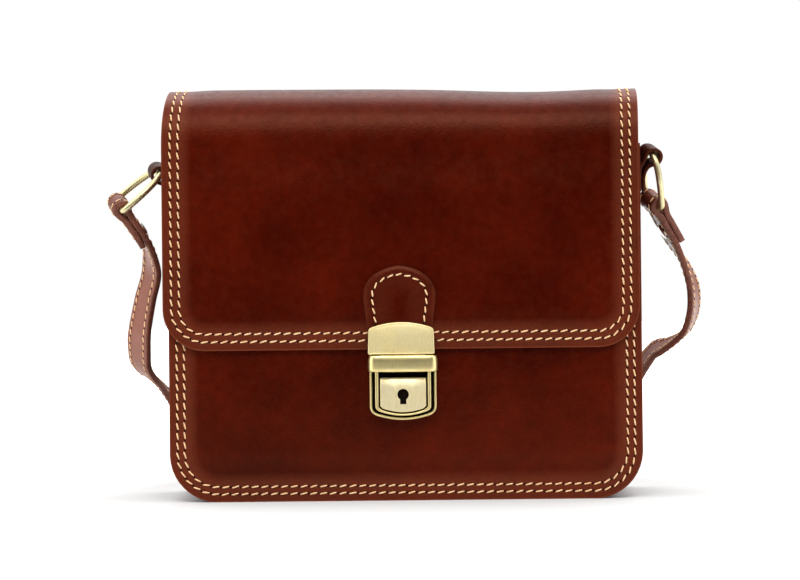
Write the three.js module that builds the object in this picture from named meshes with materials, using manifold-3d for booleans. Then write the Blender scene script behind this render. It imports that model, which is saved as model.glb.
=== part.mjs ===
// A flap bag of worn brown leather: a box body with a shaped gusset, a back that
// runs over the top as the flap, a press lock, and a shoulder strap on two D-rings.
// Millimetres, +Z up. The front faces -Y and the origin is the middle of the base.

import * as THREE from "three";
import { mergeVertices } from "three/addons/utils/BufferGeometryUtils.js";
import Module from "manifold-3d";

// Driving dimensions: the body
const bodyWidth = 256;
const bodyDepth = 70;
const bodyHeight = 224.8;
const bottomRadius = 26;
const panelLeather = 2;
const gussetLeather = 1.8;
const frontTop = 192;
const gussetTop = 190;
const archBase = 188.5;
const archSquare = 0.77;
const panelPuff = 2.2;
const seamInset = 8.2;
const puffRun = 16;
const pieceGap = 0.3;

// Driving dimensions: the gusset
const flangeWidth = 12;
const bendRadius = 2.5;
const gussetBulge = 2.5;

// Driving dimensions: the flap and its tongue patch
const flapOverhang = 0.8;
const flapBottom = 82;
const flapRadius = 22.5;
const flapClearance = 0.8;
const flapPuff = 0.6;
const flapShift = -2;
const topDip = 2.6;
const tabWidth = 38.6;
const tabHeight = 42.5;
const tabLeather = 1.6;
const tabBottomInset = 2.5;
const tabShift = -3;

// Driving dimensions: the press lock
const lockCentre = -1.5;
const haspShift = -2.3;
const caseWidth = 36;
const caseBottom = 43.9;
const caseTop = 78.7;
const caseDepth = 6;
const rimWidth = 30.6;
const rimDepth = 8;
const rimInset = 2.6;
const bridgeWidth = 37.4;
const bridgeHeight = 8.8;
const bridgeThickness = 2.8;
const haspWidth = 36;
const haspHeight = 17.6;
const haspArch = 3.4;
const haspThickness = 2.8;
const tongueWidth = 24;
const tongueThickness = 2;
const tongueReach = 8.4;
const buttonWidth = 24.7;
const buttonHeight = 18.6;
const buttonThickness = 5;
const buttonProud = 0.5;
const buttonClearance = 0.6;
const pressTravel = 1.6;
const pressSpare = 0.5;
const keyholeRadius = 3.05;
const keyholeSlot = 3.3;
const keyholeReach = 5.1;
const keyholeDepth = 2.5;

// Driving dimensions: the rings, their tabs, the strap and its rivets
const wireDiameter = 3;
const ringWidth = 22.5;
const ringLength = 29.5;
const tabStripWidth = 10;
const tabStripLeather = 1.8;
const tabLoopRadius = 3.3;
const tabTail = 20;
const strapWidth = 18;
const strapLeather = 3.4;
const strapEdge = 0.9;
const strapTail = 32;
const strapLoopWidth = 234;
const strapLoopStart = 118;
const strapLoopReach = 162;
const strapStep = 9;
const floorGap = 0.9;
const rivetCap = 9;
const rivetProud = 1.2;
const rivetShank = 3.4;
const rivetFromBar = 18;

// Driving dimensions that follow
const halfDepth = bodyDepth / 2;
const bodyHalf = bodyWidth / 2;
const flapWidth = bodyWidth + 2 * flapOverhang;
const flapFace = halfDepth + flapClearance + panelLeather;
const flapPuffed = flapFace + panelPuff + flapPuff;
const lockBack = halfDepth + panelPuff + pieceGap;
const pocketFloor = rimDepth + buttonProud - buttonThickness - pressTravel - pressSpare;
const bridgeBack = lockBack + rimDepth - pieceGap;
const haspBack = flapPuffed + pieceGap + tabLeather + pieceGap;

// Where each ring hangs: its loop's height and depth on the gusset as shares of
// the body's, the way of its bar and the way from its bar to the loop
const rings = [
  {
    name: "left", side: -1, loopOut: 7.1, height: 0.803, depth: 0.01,
    bar: [-0.29, 0.9, 0.32], leg: [0.77, 0.02, 0.64],
  },
  {
    name: "right", side: 1, loopOut: 7.1, height: 0.8334, depth: -0.13,
    bar: [-0.3, 0.88, 0.36], leg: [-0.09, -0.42, 0.9],
  },
];

const leatherColour = { color: 0x6a2412, roughness: 0.45, metalness: 0 };
const gussetColour = { color: 0x5a2016, roughness: 0.5, metalness: 0 };
const strapColour = { color: 0x9a4a3c, roughness: 0.4, metalness: 0 };
const brassColour = { color: 0xd8c58a, roughness: 0.35, metalness: 1 };
const steelColour = { color: 0xd8d2c4, roughness: 0.3, metalness: 1 };

const wasm = await Module();
wasm.setup();

const bag = new THREE.Group();

// Shared helpers

function clamp01(value) {
  return Math.min(1, Math.max(0, value));
}

function smooth(value) {
  const share = clamp01(value);
  return share * share * (3 - 2 * share);
}

function vector(list) {
  return new THREE.Vector3(list[0], list[1], list[2]);
}

function welded(geometry) {
  const bare = geometry.clone();
  bare.deleteAttribute("normal");
  bare.deleteAttribute("uv");
  return mergeVertices(bare);
}

function volumeOf(geometry) {
  const index = geometry.getIndex().array;
  const position = geometry.getAttribute("position");
  const corners = [new THREE.Vector3(), new THREE.Vector3(), new THREE.Vector3()];
  let volume = 0;
  for (let face = 0; face < index.length; face += 3) {
    corners.forEach((corner, k) => corner.fromBufferAttribute(position, index[face + k]));
    volume += corners[0].dot(corners[1].clone().cross(corners[2])) / 6;
  }
  return volume;
}

// The same closed body with its faces pointing out
function outward(geometry) {
  if (volumeOf(geometry) > 0) return geometry;
  const index = geometry.getIndex();
  for (let face = 0; face < index.count; face += 3) {
    const second = index.getX(face + 1);
    index.setX(face + 1, index.getX(face + 2));
    index.setX(face + 2, second);
  }
  return geometry;
}

// A closed body made by moving each point of a three.js geometry
function formed(geometry, place) {
  const shape = welded(geometry);
  const position = shape.getAttribute("position");
  const point = new THREE.Vector3();
  for (let i = 0; i < position.count; i++) {
    point.fromBufferAttribute(position, i);
    const moved = place(point);
    position.setXYZ(i, moved.x, moved.y, moved.z);
  }
  return outward(shape);
}

// A leather wall of so many columns and rows: place gets the column, the row and
// 0 on the outer face or 1 on the inner one
function wall(columns, rows, place) {
  const blank = new THREE.BoxGeometry(columns, rows, 1, columns, rows, 1);
  return formed(blank, (point) => {
    const column = Math.round(point.x + columns / 2);
    const row = Math.round(point.y + rows / 2);
    return place(column, row, point.z > 0 ? 0 : 1);
  });
}

// A flat plate of an outline drawn in X and Z, from its back face towards the front
function plate(outline, back, thickness, bevel) {
  const blank = new THREE.ExtrudeGeometry(outline, {
    depth: thickness - 2 * bevel,
    bevelEnabled: bevel > 0,
    bevelThickness: bevel,
    bevelSize: bevel,
    bevelOffset: -bevel,
    bevelSegments: 1,
    curveSegments: 6,
  });
  blank.translate(0, 0, bevel);
  blank.rotateX(Math.PI / 2);
  blank.translate(0, -back, 0);
  return welded(blank);
}

function solid(geometry) {
  const shape = welded(geometry);
  const vertProperties = new Float32Array(shape.getAttribute("position").array);
  const triVerts = new Uint32Array(shape.getIndex().array);
  return new wasm.Manifold(new wasm.Mesh({ numProp: 3, vertProperties, triVerts }));
}

function geometryOf(body) {
  const mesh = body.getMesh();
  const geometry = new THREE.BufferGeometry();
  const points = Float32Array.from(mesh.vertProperties);
  geometry.setAttribute("position", new THREE.BufferAttribute(points, 3));
  geometry.setIndex(new THREE.BufferAttribute(Uint32Array.from(mesh.triVerts), 1));
  return geometry;
}

function add(name, geometry, look) {
  const shown = geometry.index ? geometry.toNonIndexed() : geometry;
  shown.computeVertexNormals();
  const mesh = new THREE.Mesh(shown, new THREE.MeshStandardMaterial(look));
  mesh.name = name;
  bag.add(mesh);
}

// The body's outline

// Half the width of a panel at a height above its lower edge
function halfAt(height, half, radius) {
  if (height >= radius) return half;
  return half - radius + Math.sqrt(radius ** 2 - (radius - height) ** 2);
}

// How far a point of a panel lies inside its rounded edge
function insetAt(across, height, half, radius) {
  const side = half - Math.abs(across);
  if (side >= radius || height >= radius) return Math.min(side, height);
  return radius - Math.hypot(radius - side, radius - height);
}

function puffAt(inset) {
  return smooth((inset - seamInset) / puffRun);
}

// Heights of a panel's rows: along the corner's arc, then up to its top
function panelRows(radius, shares, top) {
  const arc = [0, 1, 2, 3, 4, 5].map((k) => radius * (1 - Math.cos((k * Math.PI) / 12)));
  return [...arc, ...shares.map((share) => radius + (top - radius) * share)];
}

// Columns of a panel, as shares of its half width, close together at the seams
const halfColumns = [1, 0.966, 0.93, 0.89, 0.83, 0.69, 0.5, 0.25];
const columnShares = [...halfColumns.map((share) => -share), 0, ...halfColumns.slice().reverse()];
const columnCount = columnShares.length - 1;
const bodyShares = [0, 0.1, 0.22, 0.36, 0.5, 0.66, 0.82, 1];

// How much of the front's fullness is left near its top edge
function fullnessAt(height) {
  return smooth((frontTop - height) / (frontTop * 0.16));
}

function buildFrontPanel() {
  const heights = panelRows(bottomRadius, bodyShares, frontTop);
  const geometry = wall(columnCount, heights.length - 1, (column, row, inner) => {
    const height = heights[row];
    const across = columnShares[column] * halfAt(height, bodyHalf, bottomRadius);
    const puff = panelPuff * puffAt(insetAt(across, height, bodyHalf, bottomRadius)) * fullnessAt(height);
    return new THREE.Vector3(across, -halfDepth - puff + inner * panelLeather, height);
  });
  add("front_panel", geometry, leatherColour);
}

// The gusset

// Stations down the left side, round the base and up the right side, each with
// its outline point, its way inwards and its share of the side's bulge
function gussetStations() {
  const rise = [1, 0.82, 0.64, 0.47, 0.31, 0.16, 0];
  const stations = [];
  const side = (sign, share) => {
    const height = bottomRadius + (gussetTop - bottomRadius) * share;
    const bulge = smooth(share * 4) * (1 - 0.4 * smooth((share - 0.6) / 0.4));
    stations.push({ x: sign * bodyHalf, z: height, inX: -sign, inZ: 0, bulge });
  };
  const corner = (sign, angle) => {
    const inX = -sign * Math.cos(angle);
    const inZ = Math.sin(angle);
    const x = sign * (bodyHalf - bottomRadius) - inX * bottomRadius;
    stations.push({ x, z: bottomRadius * (1 - inZ), inX, inZ, bulge: 0 });
  };
  const turns = [1, 2, 3, 4, 5, 6].map((k) => (k * Math.PI) / 12);
  rise.forEach((share) => side(-1, share));
  turns.forEach((angle) => corner(-1, angle));
  const flat = bodyHalf - bottomRadius;
  [-0.5, 0, 0.5].forEach((share) => stations.push({ x: flat * share, z: 0, inX: 0, inZ: 1, bulge: 0 }));
  turns.slice().reverse().forEach((angle) => corner(1, angle));
  rise.slice().reverse().forEach((share) => side(1, share));
  return stations;
}

// One row of the channel section: depth as a share of the flat web, the corner's
// angle for a point on a bend, and how much of the flange lies inside it
const channel = [
  { depth: -1, turn: 90, flange: 1 },
  { depth: -1, turn: 90, flange: 0 },
  { depth: -1, turn: 45, flange: 0 },
  { depth: -1, turn: 0, flange: 0 },
  { depth: -0.5, turn: 0, flange: 0 },
  { depth: 0, turn: 0, flange: 0 },
  { depth: 0.5, turn: 0, flange: 0 },
  { depth: 1, turn: 0, flange: 0 },
  { depth: 1, turn: 45, flange: 0 },
  { depth: 1, turn: 90, flange: 0 },
  { depth: 1, turn: 90, flange: 1 },
];

function buildGusset() {
  const stations = gussetStations();
  const flangeFace = halfDepth - panelLeather - pieceGap;
  const webHalf = flangeFace - bendRadius;
  const geometry = wall(channel.length - 1, stations.length - 1, (column, row, inner) => {
    const place = channel[column];
    const station = stations[row];
    const radius = bendRadius - inner * gussetLeather;
    const turn = THREE.MathUtils.degToRad(place.turn);
    const bulge = gussetBulge * station.bulge * Math.cos((place.depth * Math.PI) / 2);
    const inset = bendRadius - radius * Math.cos(turn) + place.flange * (flangeWidth - bendRadius) - bulge;
    const depth = place.depth * webHalf + Math.sign(place.depth) * radius * Math.sin(turn);
    return new THREE.Vector3(station.x + station.inX * inset, depth, station.z + station.inZ * inset);
  });
  add("gusset", geometry, gussetColour);
}

// The back, the arch over the top and the flap, all one piece of leather

// The top line sags right of the middle
function topWave(across) {
  const place = across / bodyHalf - 0.55;
  return -topDip * Math.exp(-((place / (place < 0 ? 0.42 : 0.38)) ** 2));
}

function backRows() {
  return panelRows(bottomRadius, bodyShares, archBase).map((height) => ({
    y: halfDepth, z: height, outY: 1, outZ: 0, half: halfAt(height, bodyHalf, bottomRadius), shift: 0,
    full: (across) =>
      panelPuff * puffAt(insetAt(across, height, bodyHalf, bottomRadius)) * fullnessAt(height)
      + flapPuff * puffAt(insetAt(across, bodyHeight, bodyHalf, bottomRadius)) * (1 - fullnessAt(height)),
  }));
}

function archRows() {
  const reach = (halfDepth + flapFace) / 2;
  const middle = (halfDepth - flapFace) / 2;
  const rise = bodyHeight - archBase;
  return [1, 2, 3, 4, 5, 6, 7, 8, 9, 10].map((k) => {
    const angle = (k * Math.PI) / 11;
    const over = smooth(k / 5.5 - 1);
    const square = k > 5 ? archSquare : 1;
    const ahead = Math.sign(Math.cos(angle)) * Math.abs(Math.cos(angle)) ** square;
    const up = Math.sin(angle) ** square;
    const facing = new THREE.Vector2(
      Math.sign(ahead) * Math.abs(Math.cos(angle)) ** (2 - square) / reach,
      Math.sin(angle) ** (2 - square) / rise
    ).normalize();
    return {
      y: middle + reach * ahead, z: archBase + rise * up,
      outY: facing.x, outZ: facing.y,
      half: bodyHalf + (flapWidth / 2 - bodyHalf) * over, shift: flapShift * over,
      wave: Math.sin(angle) ** 2,
      full: (across) => flapPuff * puffAt(bodyHalf - Math.abs(across)),
    };
  });
}

function flapRows() {
  const heights = panelRows(flapRadius, [0, 0.2, 0.42, 0.7, 1], archBase - flapBottom).reverse();
  return heights.map((height) => ({
    y: -flapFace, z: flapBottom + height, outY: -1, outZ: 0,
    half: halfAt(height, flapWidth / 2, flapRadius), shift: flapShift,
    full: (across) => panelPuff * puffAt(bodyHalf - Math.abs(across)) * fullnessAt(flapBottom + height)
      + flapPuff * puffAt(insetAt(across, height, flapWidth / 2, flapRadius)),
  }));
}

function buildBackAndFlap() {
  const rows = [...backRows(), ...archRows(), ...flapRows()];
  const geometry = wall(columnCount, rows.length - 1, (column, row, inner) => {
    const line = rows[row];
    const across = columnShares[column] * line.half;
    const out = line.full(across) - inner * panelLeather;
    const lift = topWave(across) * (line.wave || 0);
    return new THREE.Vector3(
      across + line.shift,
      line.y + line.outY * out,
      line.z + line.outZ * out + lift
    );
  });
  add("back_and_flap", geometry, leatherColour);
}

// The tongue patch: straight sides that swell towards a round top
function buildFlapTab() {
  const half = tabWidth / 2;
  const low = flapBottom + tabBottomInset;
  const top = low + tabHeight;
  const neck = half * 0.88;
  const waist = low + tabHeight * 0.35;
  const swell = low + tabHeight * 0.45;
  const widest = low + tabHeight * 0.62;
  const shoulder = low + tabHeight * 0.82;
  const crown = top - tabHeight * 0.03;
  const outline = new THREE.Shape();
  outline.moveTo(-neck, low);
  outline.lineTo(neck, low);
  outline.bezierCurveTo(half * 0.9, waist, half, swell, half, widest);
  outline.bezierCurveTo(half, shoulder, half * 0.62, crown, 0, top);
  outline.bezierCurveTo(-half * 0.62, crown, -half, shoulder, -half, widest);
  outline.bezierCurveTo(-half, swell, -half * 0.9, waist, -neck, low);
  const geometry = plate(outline, flapPuffed + pieceGap, tabLeather, tabLeather * 0.2);
  geometry.translate(tabShift, 0, 0);
  add("flap_tab", geometry, leatherColour);
}

// The press lock

// Straight sides, a full round belly below and a straight top
function lockOutline(width, bottom, top) {
  const half = width / 2;
  const corner = width * 0.16;
  const belly = width * 0.05;
  const outline = new THREE.Shape();
  outline.moveTo(-half, top);
  outline.lineTo(-half, bottom + corner + belly);
  outline.quadraticCurveTo(-half, bottom + belly * 1.6, corner - half, bottom + belly);
  outline.quadraticCurveTo(0, bottom - belly, half - corner, bottom + belly);
  outline.quadraticCurveTo(half, bottom + belly * 1.6, half, bottom + corner + belly);
  outline.lineTo(half, top);
  return outline;
}

function roundedRectangle(width, bottom, top, radius) {
  const half = width / 2;
  const outline = new THREE.Shape();
  outline.moveTo(radius - half, bottom);
  outline.lineTo(half - radius, bottom);
  outline.absarc(half - radius, bottom + radius, radius, -Math.PI / 2, 0);
  outline.lineTo(half, top - radius);
  outline.absarc(half - radius, top - radius, radius, 0, Math.PI / 2);
  outline.lineTo(radius - half, top);
  outline.absarc(radius - half, top - radius, radius, Math.PI / 2, Math.PI);
  outline.lineTo(-half, bottom + radius);
  outline.absarc(radius - half, bottom + radius, radius, Math.PI, Math.PI * 1.5);
  return outline;
}

const buttonBottom = caseBottom + rimInset + buttonClearance + (rimWidth - buttonWidth) * 0.2;

function buildLockCase() {
  const base = plate(lockOutline(caseWidth, caseBottom, caseTop), lockBack, caseDepth, 0.6);
  const rimOutline = lockOutline(rimWidth, caseBottom + rimInset * 0.6, caseTop - 1);
  const rim = plate(rimOutline, lockBack, rimDepth, 0.5);
  const pocketWidth = buttonWidth + 2 * buttonClearance;
  const pocketOutline = lockOutline(pocketWidth, buttonBottom - buttonClearance, caseTop + 1);
  const pocket = plate(pocketOutline, lockBack + pocketFloor, rimDepth, 0);
  const bridgeBottom = caseTop - bridgeHeight;
  const bridgeOutline = roundedRectangle(bridgeWidth, bridgeBottom, caseTop, bridgeHeight * 0.3);
  const bridge = plate(bridgeOutline, bridgeBack, bridgeThickness, bridgeThickness * 0.4);
  const cheeks = plate(bridgeOutline, lockBack, rimDepth, 0);
  const body = solid(base).add(solid(rim)).add(solid(cheeks)).subtract(solid(pocket)).add(solid(bridge));
  const geometry = geometryOf(body);
  geometry.translate(lockCentre, 0, 0);
  add("lock_case", geometry, brassColour);
}

function buildLockButton() {
  const front = lockBack + rimDepth + buttonProud;
  const back = front - buttonThickness;
  const slabOutline = lockOutline(buttonWidth, buttonBottom, buttonBottom + buttonHeight);
  const slab = plate(slabOutline, back, buttonThickness, 0.4);
  const middle = buttonBottom + buttonHeight * 0.51;
  const hole = new THREE.Shape();
  const slotHalf = keyholeSlot / 2;
  const meet = Math.asin(slotHalf / keyholeRadius);
  hole.moveTo(-slotHalf, middle - keyholeReach);
  hole.lineTo(slotHalf, middle - keyholeReach);
  hole.absarc(0, middle, keyholeRadius, meet - Math.PI / 2, Math.PI * 1.5 - meet);
  const keyhole = plate(hole, front - keyholeDepth, keyholeDepth + 1, 0);
  const geometry = geometryOf(solid(slab).subtract(solid(keyhole)));
  geometry.translate(lockCentre, 0, 0);
  add("lock_button", geometry, brassColour);
}

function buildHasp() {
  const bottom = caseTop + pieceGap;
  const half = haspWidth / 2;
  const corner = haspWidth * 0.04;
  const shoulder = bottom + haspHeight - haspArch;
  const outline = new THREE.Shape();
  outline.moveTo(corner - half, bottom);
  outline.lineTo(half - corner, bottom);
  outline.quadraticCurveTo(half, bottom, half, bottom + corner);
  outline.lineTo(half, shoulder);
  outline.quadraticCurveTo(0, shoulder + 2 * haspArch, -half, shoulder);
  outline.lineTo(-half, bottom + corner);
  outline.quadraticCurveTo(-half, bottom, corner - half, bottom);
  const face = plate(outline, haspBack, haspThickness, haspThickness * 0.25);
  face.translate(haspShift, 0, 0);
  const tongueBack = bridgeBack - pieceGap - tongueThickness;
  const tongueOutline = roundedRectangle(tongueWidth, bottom - tongueReach, bottom + haspHeight * 0.4, 1);
  const tongue = plate(tongueOutline, tongueBack, tongueThickness, 0);
  tongue.translate(lockCentre, 0, 0);
  add("hasp", geometryOf(solid(face).add(solid(tongue))), brassColour);
}

// The rings and the leather tabs that hold them

function gussetFaceAt(height) {
  const share = (height - bottomRadius) / (gussetTop - bottomRadius);
  return bodyHalf + gussetBulge * smooth(share * 4) * (1 - 0.4 * smooth((share - 0.6) / 0.4));
}

// Where a ring lies: its loop's middle, its ways along bar and leg, and its bar's middle
function ringPlace(ring) {
  const height = ring.height * bodyHeight;
  const out = gussetFaceAt(height) + ring.loopOut;
  const loop = new THREE.Vector3(ring.side * out, ring.depth * bodyDepth, height);
  const bar = vector(ring.bar).normalize();
  const leg = vector(ring.leg);
  leg.addScaledVector(bar, -leg.dot(bar)).normalize();
  const apex = loop.clone().addScaledVector(leg, tabLoopRadius * 0.33);
  return { loop, bar, leg, middle: apex.clone().addScaledVector(leg, -ringLength) };
}

// The D of a ring: a straight bar, tight corners, and legs that close in a round top
function ringOutline() {
  const half = ringWidth / 2;
  const corner = ringWidth * 0.13;
  const outline = new THREE.Shape();
  outline.moveTo(corner - half, 0);
  outline.lineTo(half - corner, 0);
  outline.quadraticCurveTo(half, 0, half * 1.02, corner);
  outline.bezierCurveTo(half * 1.06, ringLength * 0.5, half * 0.82, ringLength, 0, ringLength);
  outline.bezierCurveTo(-half * 0.82, ringLength, -half * 1.06, ringLength * 0.5, -half * 1.02, corner);
  outline.quadraticCurveTo(-half, 0, corner - half, 0);
  return outline;
}

function buildRing(ring) {
  const place = ringPlace(ring);
  const steps = 40;
  const sides = 8;
  const line = ringOutline().getSpacedPoints(steps);
  const facing = new THREE.Vector3().crossVectors(place.bar, place.leg);
  const geometry = formed(new THREE.TorusGeometry(10, 1, sides, steps), (point) => {
    const round = Math.atan2(point.y, point.x);
    const step = (Math.round((round / (2 * Math.PI)) * steps) + steps) % steps;
    const ahead = line[(step + 1) % steps].clone().sub(line[(step + steps - 1) % steps]).normalize();
    const outwards = (Math.hypot(point.x, point.y) - 10) * (wireDiameter / 2);
    const flat = line[step];
    const across = flat.x + ahead.y * outwards;
    const along = flat.y - ahead.x * outwards;
    const centre = place.middle.clone();
    centre.addScaledVector(place.bar, across);
    centre.addScaledVector(place.leg, along);
    return centre.addScaledVector(facing, point.z * (wireDiameter / 2));
  });
  add(`ring_${ring.name}`, geometry, brassColour);
}

// A strip of leather folded over the ring's round end and laid down the gusset
function buildRingTab(ring) {
  const place = ringPlace(ring);
  const middle = tabStripLeather / 2;
  const radius = tabLoopRadius + middle;
  const out = ring.loopOut;
  const inner = pieceGap + middle;
  const outer = inner + tabStripLeather + pieceGap;
  const arc = [180, 144, 108, 72, 36, 0].map((degrees) => {
    const angle = THREE.MathUtils.degToRad(degrees);
    return { out: out + radius * Math.cos(angle), up: radius * Math.sin(angle), loop: 1 };
  });
  const line = [
    { out: inner, up: -tabTail, loop: 0 },
    { out: inner, up: -tabTail * 0.66, loop: 0 },
    { out: inner, up: -tabTail * 0.38, loop: 0 },
    ...arc,
    { out: out + radius * 0.72, up: -radius * 0.8, loop: 1 },
    { out: outer + radius * 0.35, up: -tabTail * 0.3, loop: 0.8 },
    { out: outer, up: -tabTail * 0.5, loop: 0.3 },
    { out: outer, up: -tabTail * 0.75, loop: 0 },
    { out: outer, up: -tabTail, loop: 0 },
  ];
  const lean = new THREE.Vector3(0, place.leg.y, place.leg.z).normalize();
  const straight = new THREE.Vector3(0, lean.z, -lean.y);
  const geometry = wall(2, line.length - 1, (column, row, side) => {
    const here = line[row];
    const before = line[Math.max(0, row - 1)];
    const after = line[Math.min(line.length - 1, row + 1)];
    const ahead = new THREE.Vector2(after.out - before.out, after.up - before.up).normalize();
    const off = (side - 0.5) * tabStripLeather;
    const beside = gussetFaceAt(place.loop.z + here.up * lean.z);
    const face = THREE.MathUtils.lerp(beside, gussetFaceAt(place.loop.z), here.loop);
    const aside = ring.side * (face + here.out + ahead.y * off);
    const base = new THREE.Vector3(aside, place.loop.y, place.loop.z);
    base.addScaledVector(lean, here.up - ahead.x * off);
    const across = straight.clone().lerp(place.bar, here.loop);
    return base.addScaledVector(across, ((column - 1) * tabStripWidth) / 2);
  });
  add(`ring_tab_${ring.name}`, geometry, gussetColour);
}

// The shoulder strap

// How each strand runs on from its ring's bar: out, back and down as shares of
// the body's width, the loop's start behind the bag and the bar's height, with
// the way that the strap's width points there
const strands = {
  left: [
    { out: 0, back: 0, down: 0, width: [-0.29, 0.9, 0.32] },
    { out: -0.064, back: 0.083, down: 0.14, width: [-0.45, 0.86, 0.22] },
    { out: -0.07, back: 0.132, down: 0.224, width: [-0.56, 0.81, 0.14] },
    { out: -0.054, back: 0.162, down: 0.325, width: [-0.64, 0.76, 0.05] },
    { out: -0.036, back: 0.18, down: 0.443, width: [-0.69, 0.72, 0] },
    { out: -0.034, back: 0.214, down: 0.502, width: [-0.68, 0.73, 0.08] },
    { out: -0.039, back: 0.256, down: 0.553, width: [-0.64, 0.74, 0.2] },
    { out: -0.054, back: 0.314, down: 0.59, width: [-0.6, 0.75, 0.28] },
    { out: -0.066, back: 0.393, down: 0.62, width: [-0.52, 0.7, 0.48] },
    { out: -0.102, back: 0.583, down: 0.735, width: [-0.3, 0.42, 0.86] },
    { out: -0.137, back: 0.788, down: 0.862, width: [-0.12, 0.12, 0.98] },
    { out: -0.158, back: 0.968, down: 0.932, width: [0, 0, 1] },
  ],
  right: [
    { out: 0, back: 0, down: 0, width: [-0.3, 0.88, 0.36] },
    { out: 0.049, back: 0.08, down: 0.16, width: [-0.12, 0.96, 0.24] },
    { out: 0.067, back: 0.122, down: 0.236, width: [0.08, 0.98, 0.1] },
    { out: 0.079, back: 0.163, down: 0.31, width: [0.28, 0.96, 0] },
    { out: 0.077, back: 0.195, down: 0.378, width: [0.24, 0.97, 0.05] },
    { out: 0.062, back: 0.242, down: 0.443, width: [0.14, 0.98, 0.12] },
    { out: 0.046, back: 0.28, down: 0.474, width: [0.1, 0.98, 0.15] },
    { out: 0.023, back: 0.337, down: 0.505, width: [0.1, 0.94, 0.3] },
    { out: 0.007, back: 0.386, down: 0.525, width: [0.1, 0.85, 0.5] },
    { out: -0.036, back: 0.59, down: 0.68, width: [0.08, 0.5, 0.86] },
    { out: -0.075, back: 0.793, down: 0.84, width: [0.04, 0.15, 0.98] },
    { out: -0.095, back: 0.98, down: 0.926, width: [0, 0, 1] },
  ],
};

// How the strap turns round a bar: each row's angle round it, from the tail's side
const foldAngles = [90, 120, 150, 180, 210, 240, 270];

function strandPoint(ring, row) {
  const place = ringPlace(ring);
  return new THREE.Vector3(
    place.middle.x + ring.side * row.out * bodyWidth,
    place.middle.y + row.back * strapLoopStart,
    place.middle.z * (1 - row.down));
}

// A fold's ways at its bar: along the strand that leaves it and out of the
// strap's outer face, with the smooth line that the strand's first stretch follows
function foldWays(ring) {
  const place = ringPlace(ring);
  const points = strands[ring.name].slice(1, 5).map((row) => strandPoint(ring, row));
  const along = points[0].clone().sub(place.middle);
  along.addScaledVector(place.bar, -along.dot(place.bar)).normalize();
  const out = new THREE.Vector3().crossVectors(along, place.bar).multiplyScalar(ring.side).normalize();
  const start = place.middle.clone().addScaledVector(out, -(strapLeather + pieceGap) / 2);
  const line = new THREE.CatmullRomCurve3([start, ...points], false, "centripetal");
  return { ...place, along, out, line };
}

// A place on the strand so far from the bar, and so far out from its middle
function besideStrand(ways, distance, off) {
  const share = distance / ways.line.getLength();
  const along = ways.line.getTangentAt(share);
  const out = ways.out.clone().addScaledVector(along, -ways.out.dot(along)).normalize();
  return { point: ways.line.getPointAt(share).addScaledVector(out, off), out };
}

// The tail, the fold and the strand's first stretch at one end of the strap
function foldKeys(ring) {
  const ways = foldWays(ring);
  const reach = wireDiameter / 2 + pieceGap + strapLeather / 2;
  const tailOut = strapLeather + pieceGap;
  const stretch = [0.26, 0.48, 0.72, 1].map((share) => share * strapTail);
  const tail = stretch.slice().reverse().map((distance) => besideStrand(ways, distance, tailOut).point);
  const fold = foldAngles.map((degrees) => {
    const angle = THREE.MathUtils.degToRad(degrees);
    return ways.middle.clone()
      .addScaledVector(ways.along, reach * Math.cos(angle))
      .addScaledVector(ways.out, reach * Math.sin(angle));
  });
  const strand = stretch.map((distance) => besideStrand(ways, distance, 0).point);
  return [...tail, ...fold, ...strand].map((point) => ({ point, width: ways.bar }));
}

// All key places of the strap, from the left tail's tip to the right tail's tip
function strapKeys() {
  const [left, right] = rings;
  const ends = (ring) => {
    const run = strands[ring.name].slice(2).map((row) => {
      return { point: strandPoint(ring, row), width: vector(row.width) };
    });
    return [...foldKeys(ring), ...run];
  };
  const level = strapWidth / 2 + floorGap;
  const loop = [160, 140, 120, 100, 80, 60, 40, 20].map((degrees) => {
    const angle = THREE.MathUtils.degToRad(degrees);
    const across = (strapLoopWidth / 2) * Math.cos(angle);
    const back = strapLoopStart + strapLoopReach * Math.sin(angle);
    return { point: new THREE.Vector3(across, back, level), width: new THREE.Vector3(0, 0, 1) };
  });
  const keys = [...ends(left), ...loop, ...ends(right).reverse()];
  keys.forEach((key) => {
    const upright = Math.abs(key.width.clone().normalize().z);
    const lowest = (strapWidth * upright + strapLeather * Math.sqrt(1 - upright ** 2)) / 2 + floorGap;
    key.point.z = Math.max(key.point.z, lowest);
  });
  return keys;
}

// Even rows along the strap's smooth line, with its ways across and through there
function strapRows() {
  const keys = strapKeys();
  const line = new THREE.CatmullRomCurve3(keys.map((key) => key.point), false, "centripetal");
  const widths = new THREE.CatmullRomCurve3(keys.map((key) => key.width), false, "centripetal");
  const last = keys.length - 1;
  const shares = [0];
  for (let k = 0; k < last; k++) {
    const parts = Math.max(1, Math.round(keys[k].point.distanceTo(keys[k + 1].point) / strapStep));
    for (let part = 1; part <= parts; part++) shares.push((k + part / parts) / last);
  }
  return shares.map((share) => {
    const along = line.getTangent(share);
    const across = widths.getPoint(share);
    across.addScaledVector(along, -across.dot(along)).normalize();
    return { point: line.getPoint(share), across, out: new THREE.Vector3().crossVectors(along, across) };
  });
}

// Where a rivet stands: on its strand's inner face, pointing into the strap
function rivetPlace(ring) {
  const beside = besideStrand(foldWays(ring), rivetFromBar, -strapLeather / 2);
  return { seat: beside.point, inwards: beside.out };
}

function placedAlong(geometry, place) {
  const turn = new THREE.Quaternion().setFromUnitVectors(new THREE.Vector3(0, 1, 0), place.inwards);
  geometry.applyQuaternion(turn);
  geometry.translate(place.seat.x, place.seat.y, place.seat.z);
  return geometry;
}

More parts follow.
